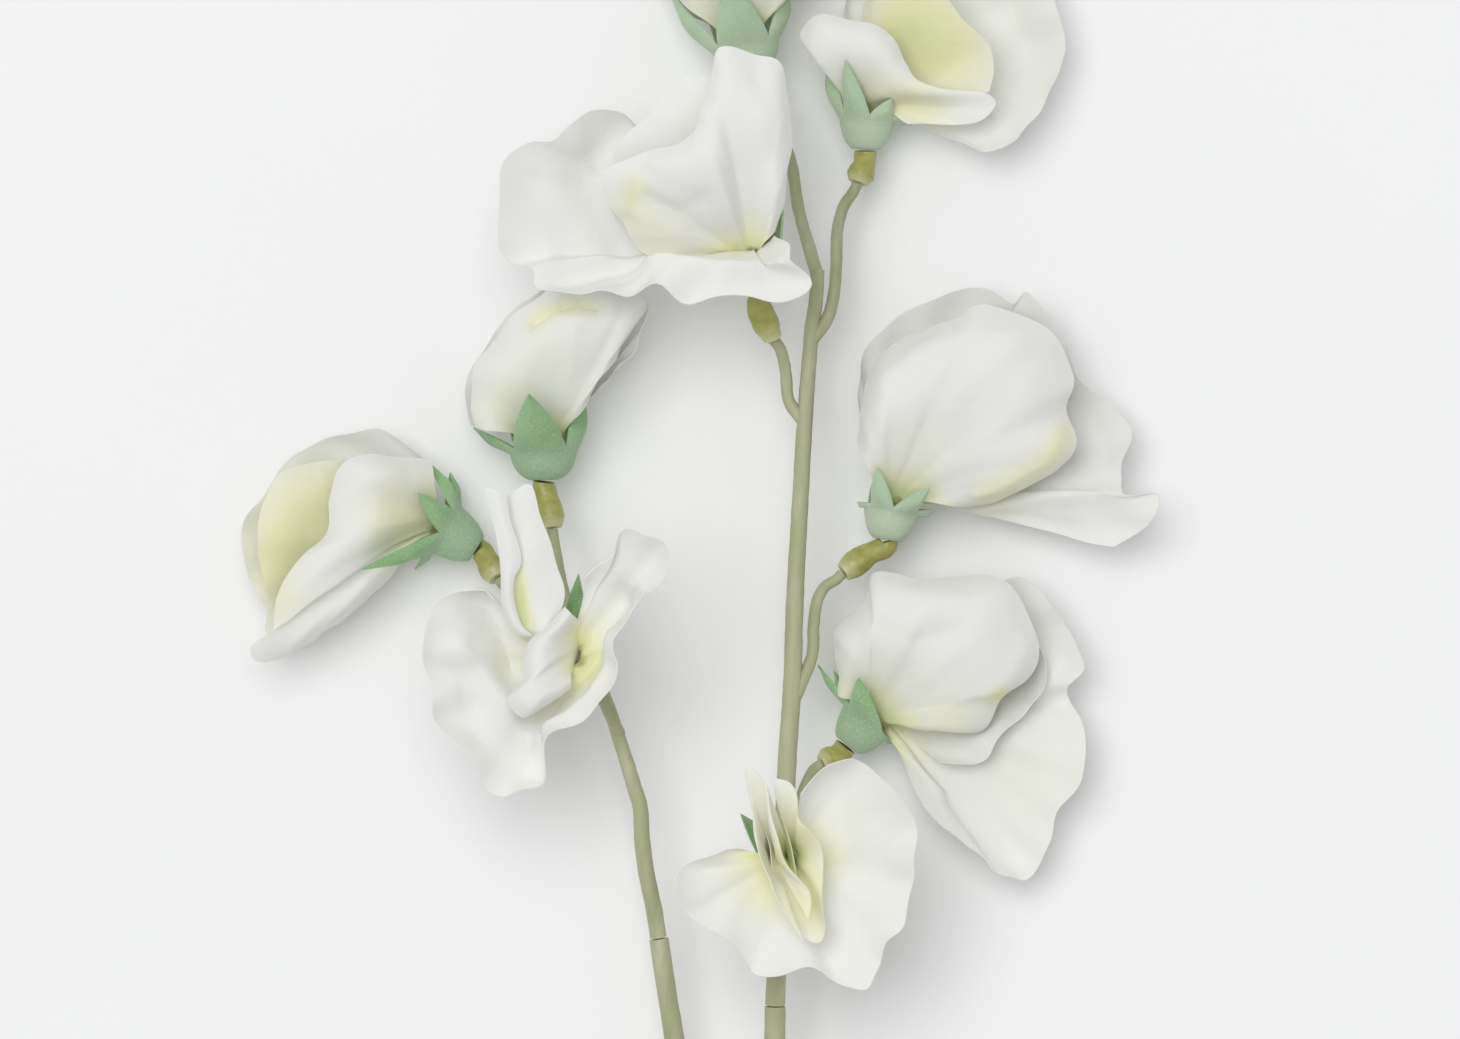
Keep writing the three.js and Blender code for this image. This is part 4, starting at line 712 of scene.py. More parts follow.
def cloth(grid, seed, ripple, folds, dabs, hidden=0):
    """A thick sheet of cloth about a grid: its corners and faces, how far each corner is from the
    claw, and how strongly it is dabbed, with dye and with painted shade and light. Where the claw is
    hidden, all of it counts as further out."""
    normals = facing(grid)
    up = np.sign(normals[..., 2].mean() or 1)
    grid = grid + normals * (ripples(grid, seed, ripple / 1000) + up * folded(grid, folds))[..., None]
    columns, rows = grid.shape[:2]
    half = normals * CLOTH_THICKNESS / 2000
    corners = np.concatenate([(grid + half).reshape(-1, 3), (grid - half).reshape(-1, 3)])
    steps = np.linalg.norm(np.diff(grid, axis=1), axis=2)
    run = np.concatenate([np.zeros((columns, 1)), np.cumsum(steps, axis=1)], axis=1)
    under = columns * rows
    faces = []
    for i in range(columns - 1):
        for j in range(rows - 1):
            a, b = i * rows + j, (i + 1) * rows + j
            faces.append((a, a + 1, b + 1, b))
            faces.append((under + a, under + b, under + b + 1, under + a + 1))
    rim = [(i, 0) for i in range(columns - 1)] + [(columns - 1, j) for j in range(rows - 1)]
    rim += [(i, rows - 1) for i in range(columns - 1, 0, -1)] + [(0, j) for j in range(rows - 1, 0, -1)]
    for k, (i, j) in enumerate(rim):
        a, b = rim[(k + 1) % len(rim)]
        faces.append((i * rows + j, a * rows + b, under + a * rows + b, under + i * rows + j))
    rise = np.tile(run.reshape(-1) * 1000, 2) + hidden
    return (corners, faces, rise), np.tile(dab_strengths(grid, dabs).reshape(-1), 2)


def petal_cloth(name, white, cool, tint, green, reach):
    """White polyester cloth with a yellow-green dye, put on by hand, that fades away from the claw, and
    dabs of the same colours: most are dye, some are painted shade and painted light.
    """
    made, tree = new_material(name)
    where = add(tree, "TexCoord").outputs["Object"]
    from_claw = add(tree, "Attribute", attribute_name="rise").outputs["Fac"]
    dabbed = add(tree, "Attribute", attribute_name="tint").outputs["Fac"]
    brushed_on = add(tree, "TexNoise", {"Vector": where, "Scale": 1000 / TINT_PATCH_MM, "Detail": 3})
    clouds = add(tree, "TexNoise", {"Vector": where, "Scale": 1000 / COOL_PATCH_MM, "Detail": 2})
    spread = add(tree, "Math", {0: brushed_on, 1: TINT_SPREAD_MM, 2: -TINT_SPREAD_MM / 2},
        operation="MULTIPLY_ADD")
    distance = add(tree, "Math", {0: from_claw, 1: spread}, operation="ADD")
    tinted = add(tree, "MapRange", {"Value": distance, "From Min": 3.0, "From Max": reach,
        "To Min": 0.95, "To Max": 0.0}, interpolation_type="SMOOTHSTEP")
    greened = add(tree, "MapRange", {"Value": distance, "From Min": 1.0, "From Max": reach * 0.5,
        "To Min": 0.9, "To Max": 0.0}, interpolation_type="SMOOTHSTEP")
    ground = add(tree, "Mix", {"Factor": clouds, "A": linear(white), "B": linear(cool)},
        data_type="RGBA")
    # The dabs mix in the claw's yellow, and its green where they are strong. Most are dye; some are
    # painted shade in hollows and slits, and painted light where the keel shows through a wing.
    broken = add(tree, "Math", {0: brushed_on, 1: 0.5, 2: 0.72}, operation="MULTIPLY_ADD")
    dab = add(tree, "Math", {0: dabbed, 1: broken}, operation="MULTIPLY")
    either = add(tree, "Math", {0: tinted, 1: dab}, operation="MAXIMUM")
    yellow = add(tree, "Mix", {"Factor": either, "A": ground, "B": linear(tint)}, data_type="RGBA")
    thick_dab = add(tree, "MapRange", {"Value": dabbed, "From Min": 0.9, "From Max": 1.7})
    greenest = add(tree, "Math", {0: greened, 1: thick_dab}, operation="MAXIMUM")
    claw = add(tree, "Mix", {"Factor": greenest, "A": yellow, "B": linear(green)}, data_type="RGBA")
    stains = add(tree, "TexNoise", {"Vector": where, "Scale": 1000 / STAIN_MM, "Detail": 3})
    ran = add(tree, "Math", {0: stains, 1: GLUE_SPREAD_MM, 2: -GLUE_SPREAD_MM / 2},
        operation="MULTIPLY_ADD")
    glued = add(tree, "Math", {0: from_claw, 1: ran}, operation="ADD")
    brown = add(tree, "MapRange", {"Value": glued, "From Min": 1.2, "From Max": 3.2, "To Min": 0.8,
        "To Max": 0.0})
    base = add(tree, "Mix", {"Factor": brown, "A": claw, "B": linear(CLAW_GLUE)}, data_type="RGBA")
    weave_scale = math.tau * 1000 / WEAVE_MM / WAVE_TURN
    threads = [add(tree, "TexWave", {"Vector": where, "Scale": weave_scale, "Distortion": 0.4},
                   bands_direction=way).outputs["Fac"] for way in ("X", "Y")]
    weave = add(tree, "Math", {0: threads[0], 1: threads[1]}, operation="MULTIPLY")
    woven = add(tree, "Bump", {"Height": weave, "Strength": 0.22, "Distance": 0.0001})
    shader = add(tree, "BsdfPrincipled", {"Base Color": base, "Roughness": 0.8, "IOR": 1.4,
        "Specular IOR Level": 0.25, "Normal": woven, "Sheen Weight": 0.12, "Sheen Roughness": 0.6,
        "Subsurface Weight": 0.15, "Subsurface Radius": (0.0015, 0.0015, 0.0013),
        "Subsurface Scale": 1.0})
    add(tree, "OutputMaterial", {"Surface": shader})
    return made


# Polyester cloth takes the light softly and lets some through, so its shadows are pale and cool.
white_cloth = petal_cloth("die-cut polyester cloth", PETAL_WHITE, PETAL_COOL, CLAW_TINT, CLAW_GREEN,
                          CLAW_TINT_REACH)
STANDARD_FOLDS = {
    "bloom_3": [([(76.7, 107.5), (80.8, 111.3), (83.3, 114.6), (85, 117.3), (87.5, 120)], 3, 2.2),
                ([(80.5, 101), (84, 106), (86, 112)], 3.2, -3.6),
                ([(72, 110), (77, 113), (80, 118)], 2.2, -1.5),
                ([(74, 119), (79, 121), (82, 124)], 2, -1.1),
                ([(88, 119.4), (93.3, 116), (97.5, 111.3), (100, 105.4), (103.7, 100)], 2.4, -2.4),
                ([(89.2, 123.3), (94.2, 120), (99.2, 115.8), (101.7, 109.2), (102.9, 103.3), (107, 99)],
                 1.5, 1.8),
                ([(88.5, 120), (88.3, 125), (87.5, 129)], 2.2, -2)],
    "bloom_4": [([(92, 43.5), (100, 44.3), (108, 45)], 2.4, 2.4),
                ([(110, 46.2), (119, 46.4), (126, 46), (133, 43.4)], 2.6, 4.2),
                ([(103, 22), (99.5, 27), (100.5, 35), (103, 41)], 3.5, -2),
                ([(88, 27.5), (93, 30)], 1.8, 0.8),
                ([(96, 20.5), (97.5, 25.5)], 2, 0.9)],
    "bloom_6": [([(168, 16), (170, 8), (168, 1)], 3, -1.4)],
    "bloom_7": [([(163.5, 84.6), (175, 83), (187.5, 82.3)], 1.2, 1.2),
                ([(180, 68), (184, 75), (186.5, 80)], 2.4, -1.1)],
    "bloom_8": [([(143.7, 117.5), (146.7, 121.3), (156.7, 132.5)], 1.2, 1.3),
                ([(176, 112), (170, 122), (164, 128)], 2.4, 1.2),
                ([(160, 128), (166, 136), (169, 143)], 3, -1.2)],
    "bloom_9": [([(139, 130), (142, 142), (141, 155)], 4, -1.3),
                ([(126, 146), (120, 149)], 3, -1)],
}
STANDARD_DABS = {
    "bloom_1": [(48, 90, 7, 0.45), (44, 100, 5, 0.4)],
    # In bloom_3 the faint dab at (84, 110) is painted shade: a yellow cast in the hollow of the left
    # half.
    "bloom_3": [(84, 110, 3, 0.3), (97.5, 108, 1.8, 1.3)],
    "bloom_6": [(149.5, 17, 3.5, 0.75), (154, 17.5, 3, 0.4)],
    "bloom_7": [(152, 80, 6, 0.35), (166, 83, 5, 0.35)],
    "bloom_8": [(152, 122, 6, 0.4), (172, 130, 10, 0.15)],
    # In bloom_9 the strong dab at (126.8, 142) is painted shade: yellow-green in the slit to the left
    # of the wings.
    "bloom_9": [(126.8, 142, 3, 1), (129, 147, 2.6, 0.8), (137, 140, 5, 0.35), (124, 144, 4, 0.4)],
}
COVERED = 16.0  # in mm, past the reach of the claw's tint
for name, spec in STANDARDS.items():
    shape, tint = cloth(fan(name, spec, *STANDARD_GRID), int(name[-1]), RIPPLE_MM,
                        STANDARD_FOLDS.get(name, ()), STANDARD_DABS.get(name, ()),
                        COVERED if name == "bloom_4" else 0)
    piece(name + "_standard", shape, white_cloth, "petal", tint=tint)


# ---- The wings ----
# Two rounded petals of the same cloth stand inside the standard and close over the keel. They are
# ironed harder than the standard, so they are smoother, and their tint runs further out.
WINGS = {
    "bloom_1_wing_near": dict(seat=(0, 1), width=5, reach=5, edge=[
        (71.5, 76.9, 3, 3), (67.3, 76.2, 5, 4), (59.5, 76.2, 7, 6), (56.8, 77.7, 8, 6),
        (55.7, 80.2, 8, 6), (55.5, 84.7, 8, 6), (54.2, 88.7, 9, 6), (50.8, 92.3, 10, 6),
        (47.5, 96.3, 10, 6), (45.7, 100.7, 9, 6), (45, 105.3, 8, 6), (41.7, 107.7, 6, 6),
        (42.8, 110.2, 4, 6), (47.5, 109.3, 3, 6), (54.2, 105.3, 2, 5), (59.7, 100.8, 1, 4),
        (64.2, 97.2, 0, 2)]),
    "bloom_1_wing_far": dict(seat=(0, -1), width=5, reach=4, edge=[
        (69.7, 78.5, 1.5, -0.2), (62.5, 76.7, 3.5, -0.3), (55, 76.7, 5.5, -0.4), (48.3, 78, 9, -0.5),
        (45.8, 80.3, 10, -0.5), (43.7, 84.7, 10.5, -0.5), (42.8, 89.2, 10, -0.5),
        (43.7, 95.8, 8, -0.5), (45, 100, 5.5, -0.4), (48.3, 101.7, 3.5, -0.3), (56.7, 98.3, 2.5, -0.2),
        (64.2, 95, 1.5, -0.1)]),
    "bloom_2_wing_near": dict(seat=(0, 1), width=6, reach=5, edge=[
        (79.2, 71.2, 4, 3), (78.1, 67, 4, 4), (79.6, 61, 4, 6), (84.5, 53.9, 6, 8), (89.4, 49.6, 8, 8),
        (95.6, 46.9, 9, 8), (101, 46.4, 9.5, 8), (105.4, 48.6, 9, 7.5), (107.6, 51.2, 8, 7),
        (105.7, 54.6, 7.6, 6.5), (102.9, 59.4, 7.2, 6), (99.6, 63.8, 6.5, 4.5), (98, 67, 6, 3)]),
    "bloom_2_wing_far": dict(seat=(0, -1), width=5, reach=4, edge=[
        (80.5, 69, -1, -2), (80.5, 62, 0, -4), (84, 55, 1, -5), (90, 50.5, 1, -6), (97, 49, 2, -5),
        (102.5, 51.5, 3, -5), (103, 57, 2, -4), (99, 64, 1, -2)]),
    "bloom_3_wing_near": dict(seat=(-0.8, 1.2), width=3, bow=1,
        left=[(86.7, 106, 6), (84.3, 101.7, 7.5), (83.7, 95.8, 9.5), (82.9, 89.2, 11.5),
            (81.2, 81.7, 12.5), (82.4, 80.6, 12.5)],
        right=[(88.5, 105.4, 7.2), (85.9, 100.8, 8.5), (85.7, 96.7, 10), (87, 94, 10.5),
            (86.8, 91.2, 11.5), (85.4, 86.7, 12.5), (84.6, 81.8, 12.5)]),
    "bloom_3_wing_far": dict(seat=(0.2, 2.4), turn=12, width=3, bow=1,
        left=[(88.4, 105.6, 5.6), (86, 101, 6.3), (85.6, 96.5, 7), (86.2, 91.5, 8), (85, 86.5, 8.8),
            (84.2, 82.4, 9.6)],
        right=[(92, 104.6, 6.5), (93.9, 100.8, 7), (94.2, 97.9, 7.5), (92.9, 94.2, 8), (91.7, 90, 9),
            (90.1, 85.8, 10), (88.8, 81.2, 10.5), (86.8, 80.9, 10.5)]),
    "bloom_4_wing_near": dict(seat=(-1.2, -0.5), width=4, reach=3.2, edge=[
        (115, 43, 2.6, 0.5), (107.5, 42.6, 3.4, 2), (105.2, 40, 5, 3.5), (102.6, 35.8, 7, 4.5),
        (100.8, 31.7, 8.6, 5), (101.2, 28.5, 10, 5.5), (104.5, 26.8, 11.5, 6),
        (108.5, 25.2, 12.6, 6.6), (113, 24.2, 13, 7.4), (116.6, 22, 13, 8), (117.6, 17.5, 13, 8),
        (118.2, 12.8, 13, 8), (119.2, 9.2, 13, 8), (121.2, 8.3, 13, 8), (126, 9.5, 12, 8),
        (129.7, 10.8, 11, 8), (131.4, 15.5, 9.5, 8), (132.2, 22.5, 8, 7), (131.4, 29, 6.5, 5.5),
        (129.6, 35.2, 5, 4), (128.9, 38.6, 4.5, 2.5)]),
    "bloom_4_wing_far": dict(seat=(-0.4, 1.1), width=2.6, reach=5, edge=[
        (103.5, 38, 2, 0), (101.5, 34, 4.5, 1), (100.8, 30.5, 6, 2), (102.5, 25.6, 7.4, 3),
        (105, 22.2, 8, 3), (108.3, 19.5, 9, 3), (110, 16.7, 9, 3), (113, 13.6, 9, 3),
        (115.8, 12.9, 9, 3), (118.5, 13.7, 9, 3)]),
    "bloom_5_wing_near": dict(seat=(0, 1), width=6, reach=4, edge=[
        (113.5, 0, 2, 3), (110.5, -7, 3, 5), (112, -14, 4, 7), (118, -20, 5, 8), (126, -21, 5, 8),
        (133, -18, 5, 7), (136.5, -10, 4, 5), (131.5, -1, 2, 3)]),
    "bloom_5_wing_far": dict(seat=(0, -1), width=5, reach=4, edge=[
        (115, -2, -1, -1), (113, -11, 0, -3), (117, -19, 1, -4), (125, -23, 1, -5), (132, -20, 1, -4),
        (136, -12, 1, -3), (131, -2, -1, -1)]),
    "bloom_6_wing_near": dict(seat=(0.5, 1), width=5, reach=4, edge=[
        (138, 10.3, 3.5, 2), (135.3, 9, 4.5, 3), (133.5, 6.7, 5.5, 4), (134.3, 4.5, 5.5, 5),
        (137, 2.5, 6.5, 5), (141.7, 3.3, 7.5, 5), (146.2, 4, 8.5, 5), (149.4, 6.6, 8.5, 5),
        (151, 10.5, 8.5, 4), (152.4, 13.2, 8.5, 3), (156, 14.6, 8.2, 2.4), (160.5, 15.1, 8, 2),
        (164.4, 15.7, 7.5, 1.6), (166, 17.4, 6.5, 1), (163, 20.2, 5.5, 0.6), (157, 20.6, 4.5, 0.4),
        (151.5, 20.4, 3.5, 0.2)]),
    "bloom_6_wing_far": dict(seat=(-0.4, -1), width=5, reach=4, edge=[
        (164.7, 15.3, 7, -1.2), (165.5, 11.3, 8, -1.2), (164.7, 7, 8, -1.5), (160.5, 3, 8, -1.5),
        (157.5, -0.8, 7, -1.5), (152.5, -5.8, 6, -1.5), (146.7, -5, 5, -1.2), (144.3, 0, 4, -0.9)]),
    "bloom_7_wing_near": dict(seat=(0, 1), width=5, reach=4, edge=[
        (142.8, 73.3, 4, 5), (143.7, 67, 5, 7), (146.7, 60.3, 6, 9), (151, 55.7, 7, 9),
        (158.3, 53.3, 8, 9), (164.2, 50.7, 8, 9), (171.7, 53.3, 8, 9), (176.7, 57, 7, 9),
        (178.7, 62.5, 6, 9), (178, 67.5, 6, 8), (179.2, 73.5, 5, 7), (176.7, 77.8, 4, 6),
        (168.3, 82.7, 3, 4), (161.7, 84.7, 2, 3)]),
    "bloom_7_wing_far": dict(seat=(0, -1), width=5, reach=4, edge=[
        (146, 74, -1, -2), (146, 65, 0, -4), (151, 58, 1, -5), (160, 54, 2, -5), (170, 56, 2, -5),
        (175.5, 62, 2, -5), (175.5, 72, 1, -4), (168, 79.5, 0, -2), (158, 83, -1, -1)]),
    "bloom_8_wing_near": dict(seat=(0, 1), width=5, reach=4, edge=[
        (139.8, 116, 3, 2), (139.7, 108.3, 4, 5), (140.7, 103.3, 5, 7), (144.7, 98.7, 6, 9),
        (146, 95.7, 7, 9), (149.5, 95.7, 8, 9), (154.2, 97.2, 8, 9), (160.8, 95.5, 8, 9),
        (166, 96.3, 8, 9), (170.5, 101, 8, 9), (173, 108.3, 7, 8), (171.5, 113.5, 6, 7),
        (166.7, 116.5, 5, 6), (163, 121.5, 3, 5), (156, 122.3, 2, 3)]),
    "bloom_8_wing_far": dict(seat=(0, -1), width=5, reach=4, edge=[
        (149, 107, -1, -2), (152, 101, 0, -4), (160, 98.3, 1, -5), (168.3, 100, 2, -6),
        (173, 106.7, 3, -6), (174.5, 113, 4, -5), (171.3, 118, 4, -4), (166.7, 122.8, 4, -3),
        (164.2, 127, 3, -3), (156.7, 127, 1, -2)]),
    "bloom_9_wing_near": dict(seat=(-1.5, 0.6), ring=0.7, reach=6.5, edge=[
        (134.7, 153, 13.6, 2), (135, 148.6, 13.2, 2), (133.3, 146, 13.2, 2), (131.2, 143.2, 14, 2.6),
        (129.9, 139.6, 15, 3), (128.6, 135.5, 16, 3), (128, 131.7, 16.6, 3), (126.4, 128.5, 16.6, 3),
        (124.2, 127.5, 16.6, 3), (125, 133.3, 14.6, 2), (125.7, 138.5, 12.6, 2), (127, 143.7, 10.6, 1),
        (128.7, 147.3, 9.6, 1), (130.6, 150.8, 9.6, 1), (133.7, 156.5, 10.6, 1)]),
    "bloom_9_wing_far": dict(seat=(1.4, 0.4), ring=0.9, reach=5, edge=[
        (128.5, 129.2, 11.1, 2), (131.5, 130, 11.1, 2), (132.8, 132.5, 11.1, 2), (133, 135.8, 10.1, 2),
        (134.6, 137.7, 10.1, 1), (136.1, 140.4, 9.1, 1), (136.8, 143.5, 8.1, 1),
        (136.9, 147.9, 8.1, 1), (137.6, 151.9, 8.1, 0), (136.9, 156.4, 8.1, 0), (134.3, 156, 7.6, 0),
        (131.6, 151.5, 7, 0), (129.4, 147, 7, 0), (128, 141.5, 7.5, 0), (127.6, 135.5, 8.5, 1),
        (127.9, 131, 10, 1.5)]),
}
WING_RIPPLE_MM = 0.45
WING_GRID = (110, 34)
RIBBON_GRID = (32, 60)
WING_SEED = 60


def ribbon(bloom, spec, columns, rows):
    """The middle layer of a narrow petal between its two long edges."""
    root, row, out = claw_frame(bloom, spec)
    lift = CALYXES[bloom]["lift"]
    sides = []
    for side, edge in ((-0.5, spec["left"]), (0.5, spec["right"])):
        claw = root + row * spec["width"] * side / 1000
        points = [claw, claw + out / 1000] + [place(x, y, z + lift) for x, y, z in edge]
        length = sum(np.linalg.norm(b - a) for a, b in zip(points, points[1:]))
        line, _ = smooth_line(points, length / rows)
        sides.append(line[:rows + 1])
    shortest = min(len(side) for side in sides)
    grid = []
    for i in range(columns + 1):
        u = i / columns
        line = sides[0][:shortest] * (1 - u) + sides[1][:shortest] * u
        rise = np.clip(np.linspace(0, 4, shortest), 0, 1)
        line[:, 2] += spec["bow"] / 1000 * math.sin(math.pi * u) * rise
        grid.append(line)
    return np.array(grid)


WING_FOLDS = {
    "bloom_1_wing_near": [([(55.8, 84), (60, 80.5), (66, 79)], 2, 0.8),
                          ([(66, 92), (57, 97), (48, 105)], 2.4, -0.9),
                          ([(61, 78), (63, 86), (60, 93)], 3.2, 0.6)],
    "bloom_2_wing_near": [([(88.5, 53.8), (92.4, 51.2), (96, 50.8), (100, 51.5)], 0.9, -1.5),
                          ([(96, 53), (95.5, 60), (94, 67)], 2.4, 0.5),
                          ([(104, 50), (102.5, 55), (99, 62)], 1.6, -0.8)],
    "bloom_3_wing_far": [
        ([(88, 91.5), (88.1, 95), (87.9, 97.5), (89.2, 101.7), (90.6, 105)], 1.8, 0.8)],
    "bloom_4_wing_near": [([(108.3, 33.3), (113.3, 35.8), (117.5, 33.7)], 1.8, -0.9),
                          ([(107, 28.5), (104.8, 32), (104.5, 37)], 1.6, -0.9),
                          ([(110, 28), (115.5, 26.5), (117.8, 21)], 1.6, 0.9),
                          ([(126, 13), (129, 18), (129, 26)], 2, -0.6)],
    "bloom_7_wing_near": [([(147, 64), (153, 58), (163, 55.5), (172, 57.5)], 1.4, 0.6),
                          ([(176.8, 71), (174, 77), (163, 82.5)], 1.3, 0.9),
                          ([(160, 60), (163, 70), (159, 80)], 5, -0.6)],
    "bloom_8_wing_near": [([(146, 104), (152, 107), (160, 105)], 2.2, -0.8),
                          ([(150, 99), (158, 101), (166, 99)], 2, 0.7),
                          ([(164.5, 115.5), (168, 113), (171, 107)], 1.4, 0.8)],
    "bloom_9_wing_near": [([(128.3, 133), (130.5, 141), (134, 148.5)], 1.2, 0.7)],
}
WING_DABS = {
    "bloom_1_wing_near": [(67.5, 87, 6.5, 0.85), (47, 100, 4, 0.5)],
    "bloom_1_wing_far": [(50, 88, 9, 1), (46, 96, 6, 0.8), (56, 82, 7, 0.5)],
    "bloom_2_wing_near": [(89, 53.6, 1.3, 0.7), (90.5, 52.5, 1.3, 0.7), (92.2, 51.7, 1.3, 0.75),
                          (94, 51.3, 1.3, 0.75), (95.8, 51.1, 1.3, 0.7), (97.6, 51.2, 1.3, 0.6),
                          (99.4, 51.5, 1.3, 0.4), (85, 69, 6, 0.35), (91, 60, 9, 0.15)],
    "bloom_3_wing_far": [(87.6, 103.6, 1.4, 1.2), (87.2, 101.8, 1.4, 1.2), (87, 100, 1.3, 1.2),
                         (86.9, 98.2, 1.3, 1.1), (86.9, 96.4, 1.2, 0.9), (87.1, 94.6, 1.1, 0.6)],
    "bloom_4_wing_near": [
        # The dab at (123, 40.5) is painted shade: yellow-green in the gap between the wings and the
        # standard's front band.
        (123, 40.5, 3, 0.5), (106.4, 31, 1.8, 0.6), (105.2, 33.6, 1.8, 0.6), (104.5, 37, 4, 0.4),
        (111, 41, 6, 0.4)],
    "bloom_5_wing_near": [(116, -2, 6, 0.5), (128, -2, 6, 0.4)],
    "bloom_6_wing_near": [(144, 15, 4, 0.5), (151, 17, 4, 0.7), (156, 18, 4, 0.4)],
    "bloom_6_wing_far": [(157, 8, 9, 1), (151, 3, 7, 0.9)],
    # In bloom_7 the row of dabs along the near wing's lower rim is painted light: the keel's pale green
    # seen through the thin wing.
    "bloom_7_wing_near": [(177.6, 71.6, 2.2, 0.6), (176.6, 74.4, 2.2, 0.65), (174.4, 77, 2.4, 0.7),
                          (171.4, 79.2, 2.4, 0.7), (168, 81, 2.4, 0.7), (164.4, 82.4, 2.4, 0.6),
                          (152, 77, 6, 0.3)],
    "bloom_8_wing_near": [(167.2, 115.4, 1.5, 0.8), (165.6, 116.4, 1.5, 0.8), (158, 120.5, 5, 0.45),
                          (147, 114, 7, 0.2)],
    "bloom_9_wing_near": [
        (130, 141, 6, 0.6), (131, 142, 1.8, 1), (134, 151, 5, 0.85), (126.5, 131, 4, 0.3)],
    "bloom_9_wing_far": [(135, 150, 6, 1), (132, 138, 6, 0.7)],
}
for k, (name, spec) in enumerate(WINGS.items()):
    bloom = name[:7]
    grid = ribbon(bloom, spec, *RIBBON_GRID) if "left" in spec else fan(bloom, spec, *WING_GRID)
    shape, tint = cloth(grid, WING_SEED + k, WING_RIPPLE_MM, WING_FOLDS.get(name, ()),
                        WING_DABS.get(name, ()))
    piece(name, shape, white_cloth, "petal", tint=tint)


# ---- The keels ----
# The keel is the small folded petal that hides in the middle of the flower. It is the same cloth,
# dyed through in pale green.
KEELS = {
    "bloom_1": dict(seat=(0, 0), width=4, reach=4, edge=[
        (66, 82, 1, 1), (60, 82, 3, 1), (57, 87, 4, 1), (58, 92, 3, 1), (64, 92, 1, 1)]),
    "bloom_2": dict(seat=(0, 0), width=4, reach=4, edge=[
        (87, 66, 1, 1), (86, 60, 2, 1), (90, 56, 2, 1), (95, 57, 2, 1), (95, 65, 1, 1)]),
    "bloom_3": dict(seat=(1, 0.6), turn=80, width=8, reach=3, edge=[
        (94.2, 101, 8.5, 6), (91.7, 103.9, 8, 6), (88.6, 106.6, 8, 6), (87.4, 110, 8, 6),
        (87.3, 113.2, 8, 6), (84.9, 116.5, 8.5, 6), (87.3, 119.4, 8.5, 6), (90.4, 117.8, 8, 5),
        (93.3, 115.9, 7, 4), (95.2, 114.4, 6, 3)]),
    "bloom_4": dict(seat=(0, 2.6), width=3, reach=4, edge=[
        (118, 40, 0.5, 0), (115, 33, 1, 0), (117, 27, 1.5, 0), (121, 28, 1.5, 0)]),
    "bloom_5": dict(seat=(0, 0), width=4, reach=4, edge=[
        (120, -2, 1, 1), (119, -9, 2, 1), (124, -14, 2, 1), (129, -10, 2, 1), (128, -2, 1, 1)]),
    "bloom_6": dict(seat=(0, 0), width=4, reach=4, edge=[
        (141.5, 11, 1, 1), (141.5, 7, 2, 1), (145, 6, 3, 1), (148, 9, 3, 1), (147.5, 13.5, 1, 1)]),
    "bloom_7": dict(seat=(0, 0), width=4, reach=4, edge=[
        (150, 74, 1, 1), (157, 65, 3, 2), (167, 64, 3, 2), (172, 70, 3, 2), (169, 77, 2, 1),
        (160, 81.5, 1, 0)]),
    "bloom_8": dict(seat=(0, 0), width=4, reach=4, edge=[
        (148, 111, 1, 1), (156, 104, 3, 2), (164, 104, 4, 2), (167, 111, 4, 2), (161, 117, 3, 1),
        (152, 119, 1, 0)]),
    "bloom_9": dict(seat=(0, 0.4), ring=0.5, reach=2, edge=[
        (130.9, 137.5, 7.2, 0), (132, 141, 7.2, 0), (132.6, 145, 7.2, 0), (132.4, 147, 6.2, 0),
        (131.4, 146.8, 5.2, 0)]),
}
KEEL_PALE = "#eef2dc"
KEEL_GREEN = "#dfe9c6"
KEEL_TINT = "#cfdfa0"
KEEL_CLAW = "#b9ca86"
KEEL_TINT_REACH = 12.0
KEEL_GRID = (60, 22)
KEEL_RIPPLE_MM = 0.1
KEEL_SEED = 90
keel_cloth = petal_cloth("dyed polyester cloth", KEEL_PALE, KEEL_GREEN, KEEL_TINT, KEEL_CLAW,
                         KEEL_TINT_REACH)
KEEL_DABS = {"bloom_3": [(96.3, 106, 2.2, 0.9), (95.3, 111, 2, 0.7)]}
for k, (name, spec) in enumerate(KEELS.items()):
    whiter = name == "bloom_3"  # this one lies open in front, and is as white as the wings
    shape, tint = cloth(fan(name, spec, *KEEL_GRID), KEEL_SEED + k, KEEL_RIPPLE_MM, (),
                        KEEL_DABS.get(name, ()), COVERED if whiter else 0)
    piece(name + "_keel", shape, white_cloth if whiter else keel_cloth, "keel", tint=tint)


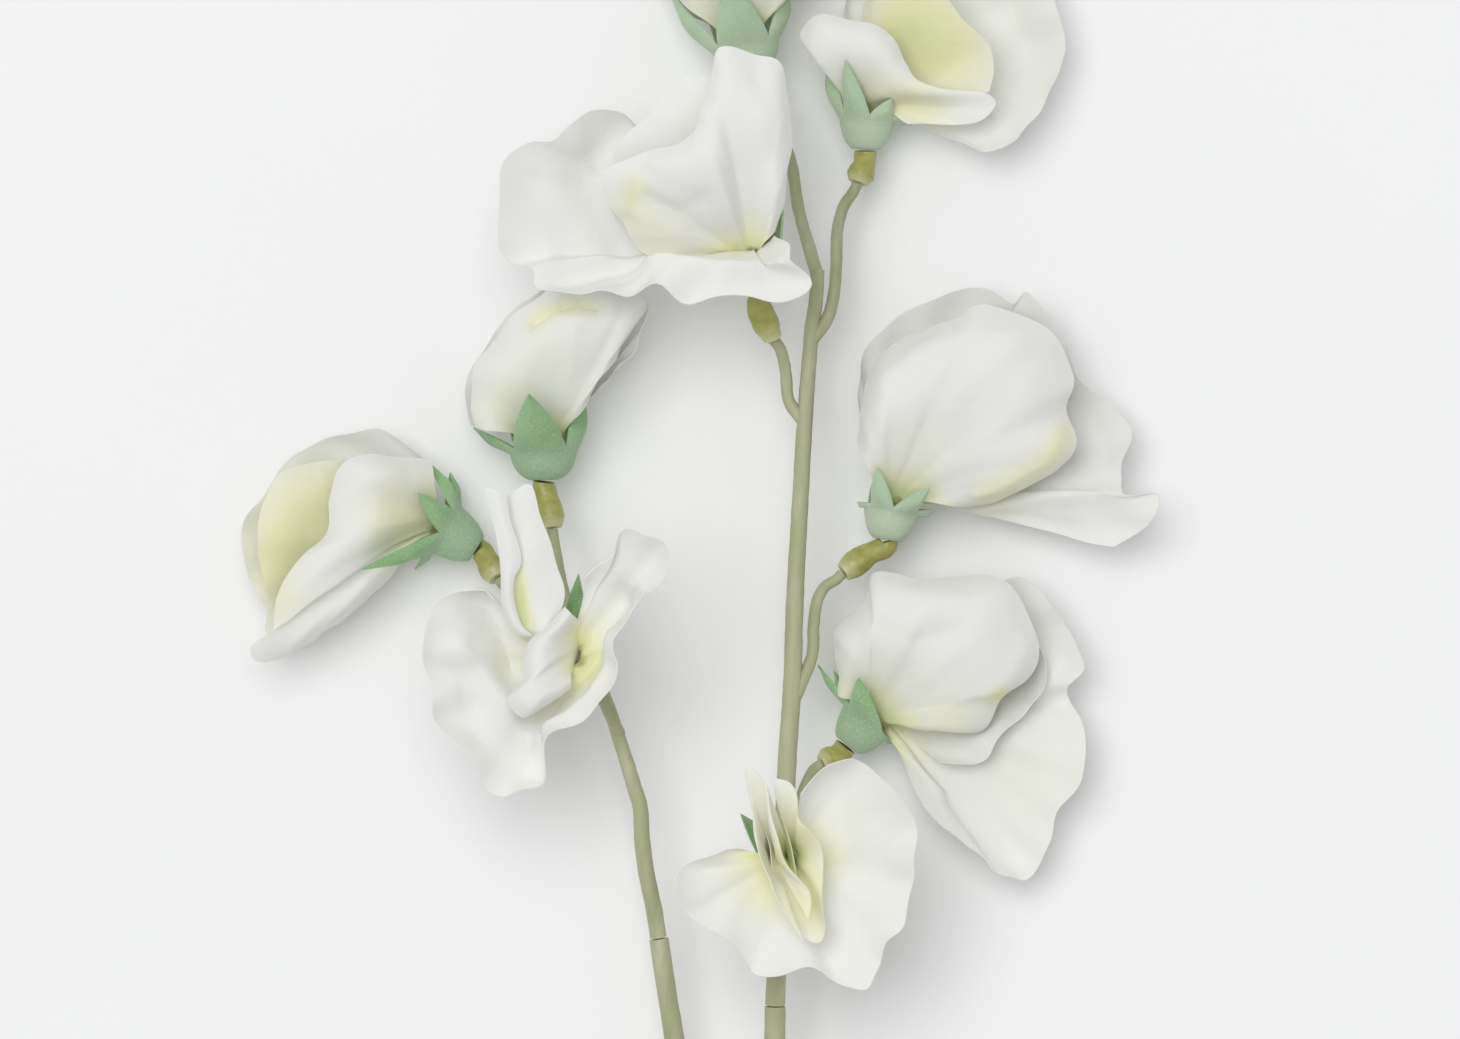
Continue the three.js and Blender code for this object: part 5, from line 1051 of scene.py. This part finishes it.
# ---- The table and the light ----
# A plain pale table top under a big soft box from the upper left and an even pale room.
TABLE_WHITE = "#f6f6f6"
TABLE_SPECK = "#f2f2f2"
TABLE_CLOUD_MM = 125.0
TABLE_HALF = 3.0  # half the width of the table top, in metres
table_paint, tree = new_material("matt white table paint")
where = add(tree, "TexCoord").outputs["Object"]
cloudy = add(tree, "TexNoise", {"Vector": where, "Scale": 1000 / TABLE_CLOUD_MM, "Detail": 2})
paint = add(tree, "Mix", {"Factor": cloudy, "A": linear(TABLE_WHITE), "B": linear(TABLE_SPECK)},
    data_type="RGBA")
shader = add(tree, "BsdfPrincipled", {"Base Color": paint, "Roughness": 0.95,
    "Specular IOR Level": 0.1})
add(tree, "OutputMaterial", {"Surface": shader})
top = bpy.data.meshes.new("table_top")
top.from_pydata([(x * TABLE_HALF, y * TABLE_HALF, 0) for x, y in ((-1, -1), (1, -1), (1, 1), (-1, 1))],
                [], [(0, 1, 2, 3)])
top.materials.append(table_paint)
table = bpy.data.objects.new("table_top", top)
bpy.context.scene.collection.objects.link(table)

ROOM_STRENGTH = 0.56
ROOM_WHITE = "#fdfeff"
SOFT_BOX_SIZE = 3.4  # in metres, well above the camera
SOFT_BOX_PLACE = (-0.9, 1.1, 5.0)
SOFT_BOX_WATTS = 132.0
room = bpy.data.worlds.new("pale room")
room.use_nodes = True
room.node_tree.nodes["Background"].inputs["Color"].default_value = linear(ROOM_WHITE)
room.node_tree.nodes["Background"].inputs["Strength"].default_value = ROOM_STRENGTH
bpy.context.scene.world = room
soft_box = bpy.data.lights.new("soft box", "AREA")
soft_box.shape = "DISK"
soft_box.size = SOFT_BOX_SIZE
soft_box.energy = SOFT_BOX_WATTS
lamp = bpy.data.objects.new("soft box", soft_box)
lamp.location = SOFT_BOX_PLACE
aim = -np.array(SOFT_BOX_PLACE)
lamp.rotation_euler = (math.acos(-aim[2] / np.linalg.norm(aim)), 0,
                       math.atan2(aim[1], aim[0]) - math.pi / 2)
bpy.context.scene.collection.objects.link(lamp)
bpy.context.scene.view_settings.view_transform = "Standard"
bpy.context.scene.view_settings.look = "None"
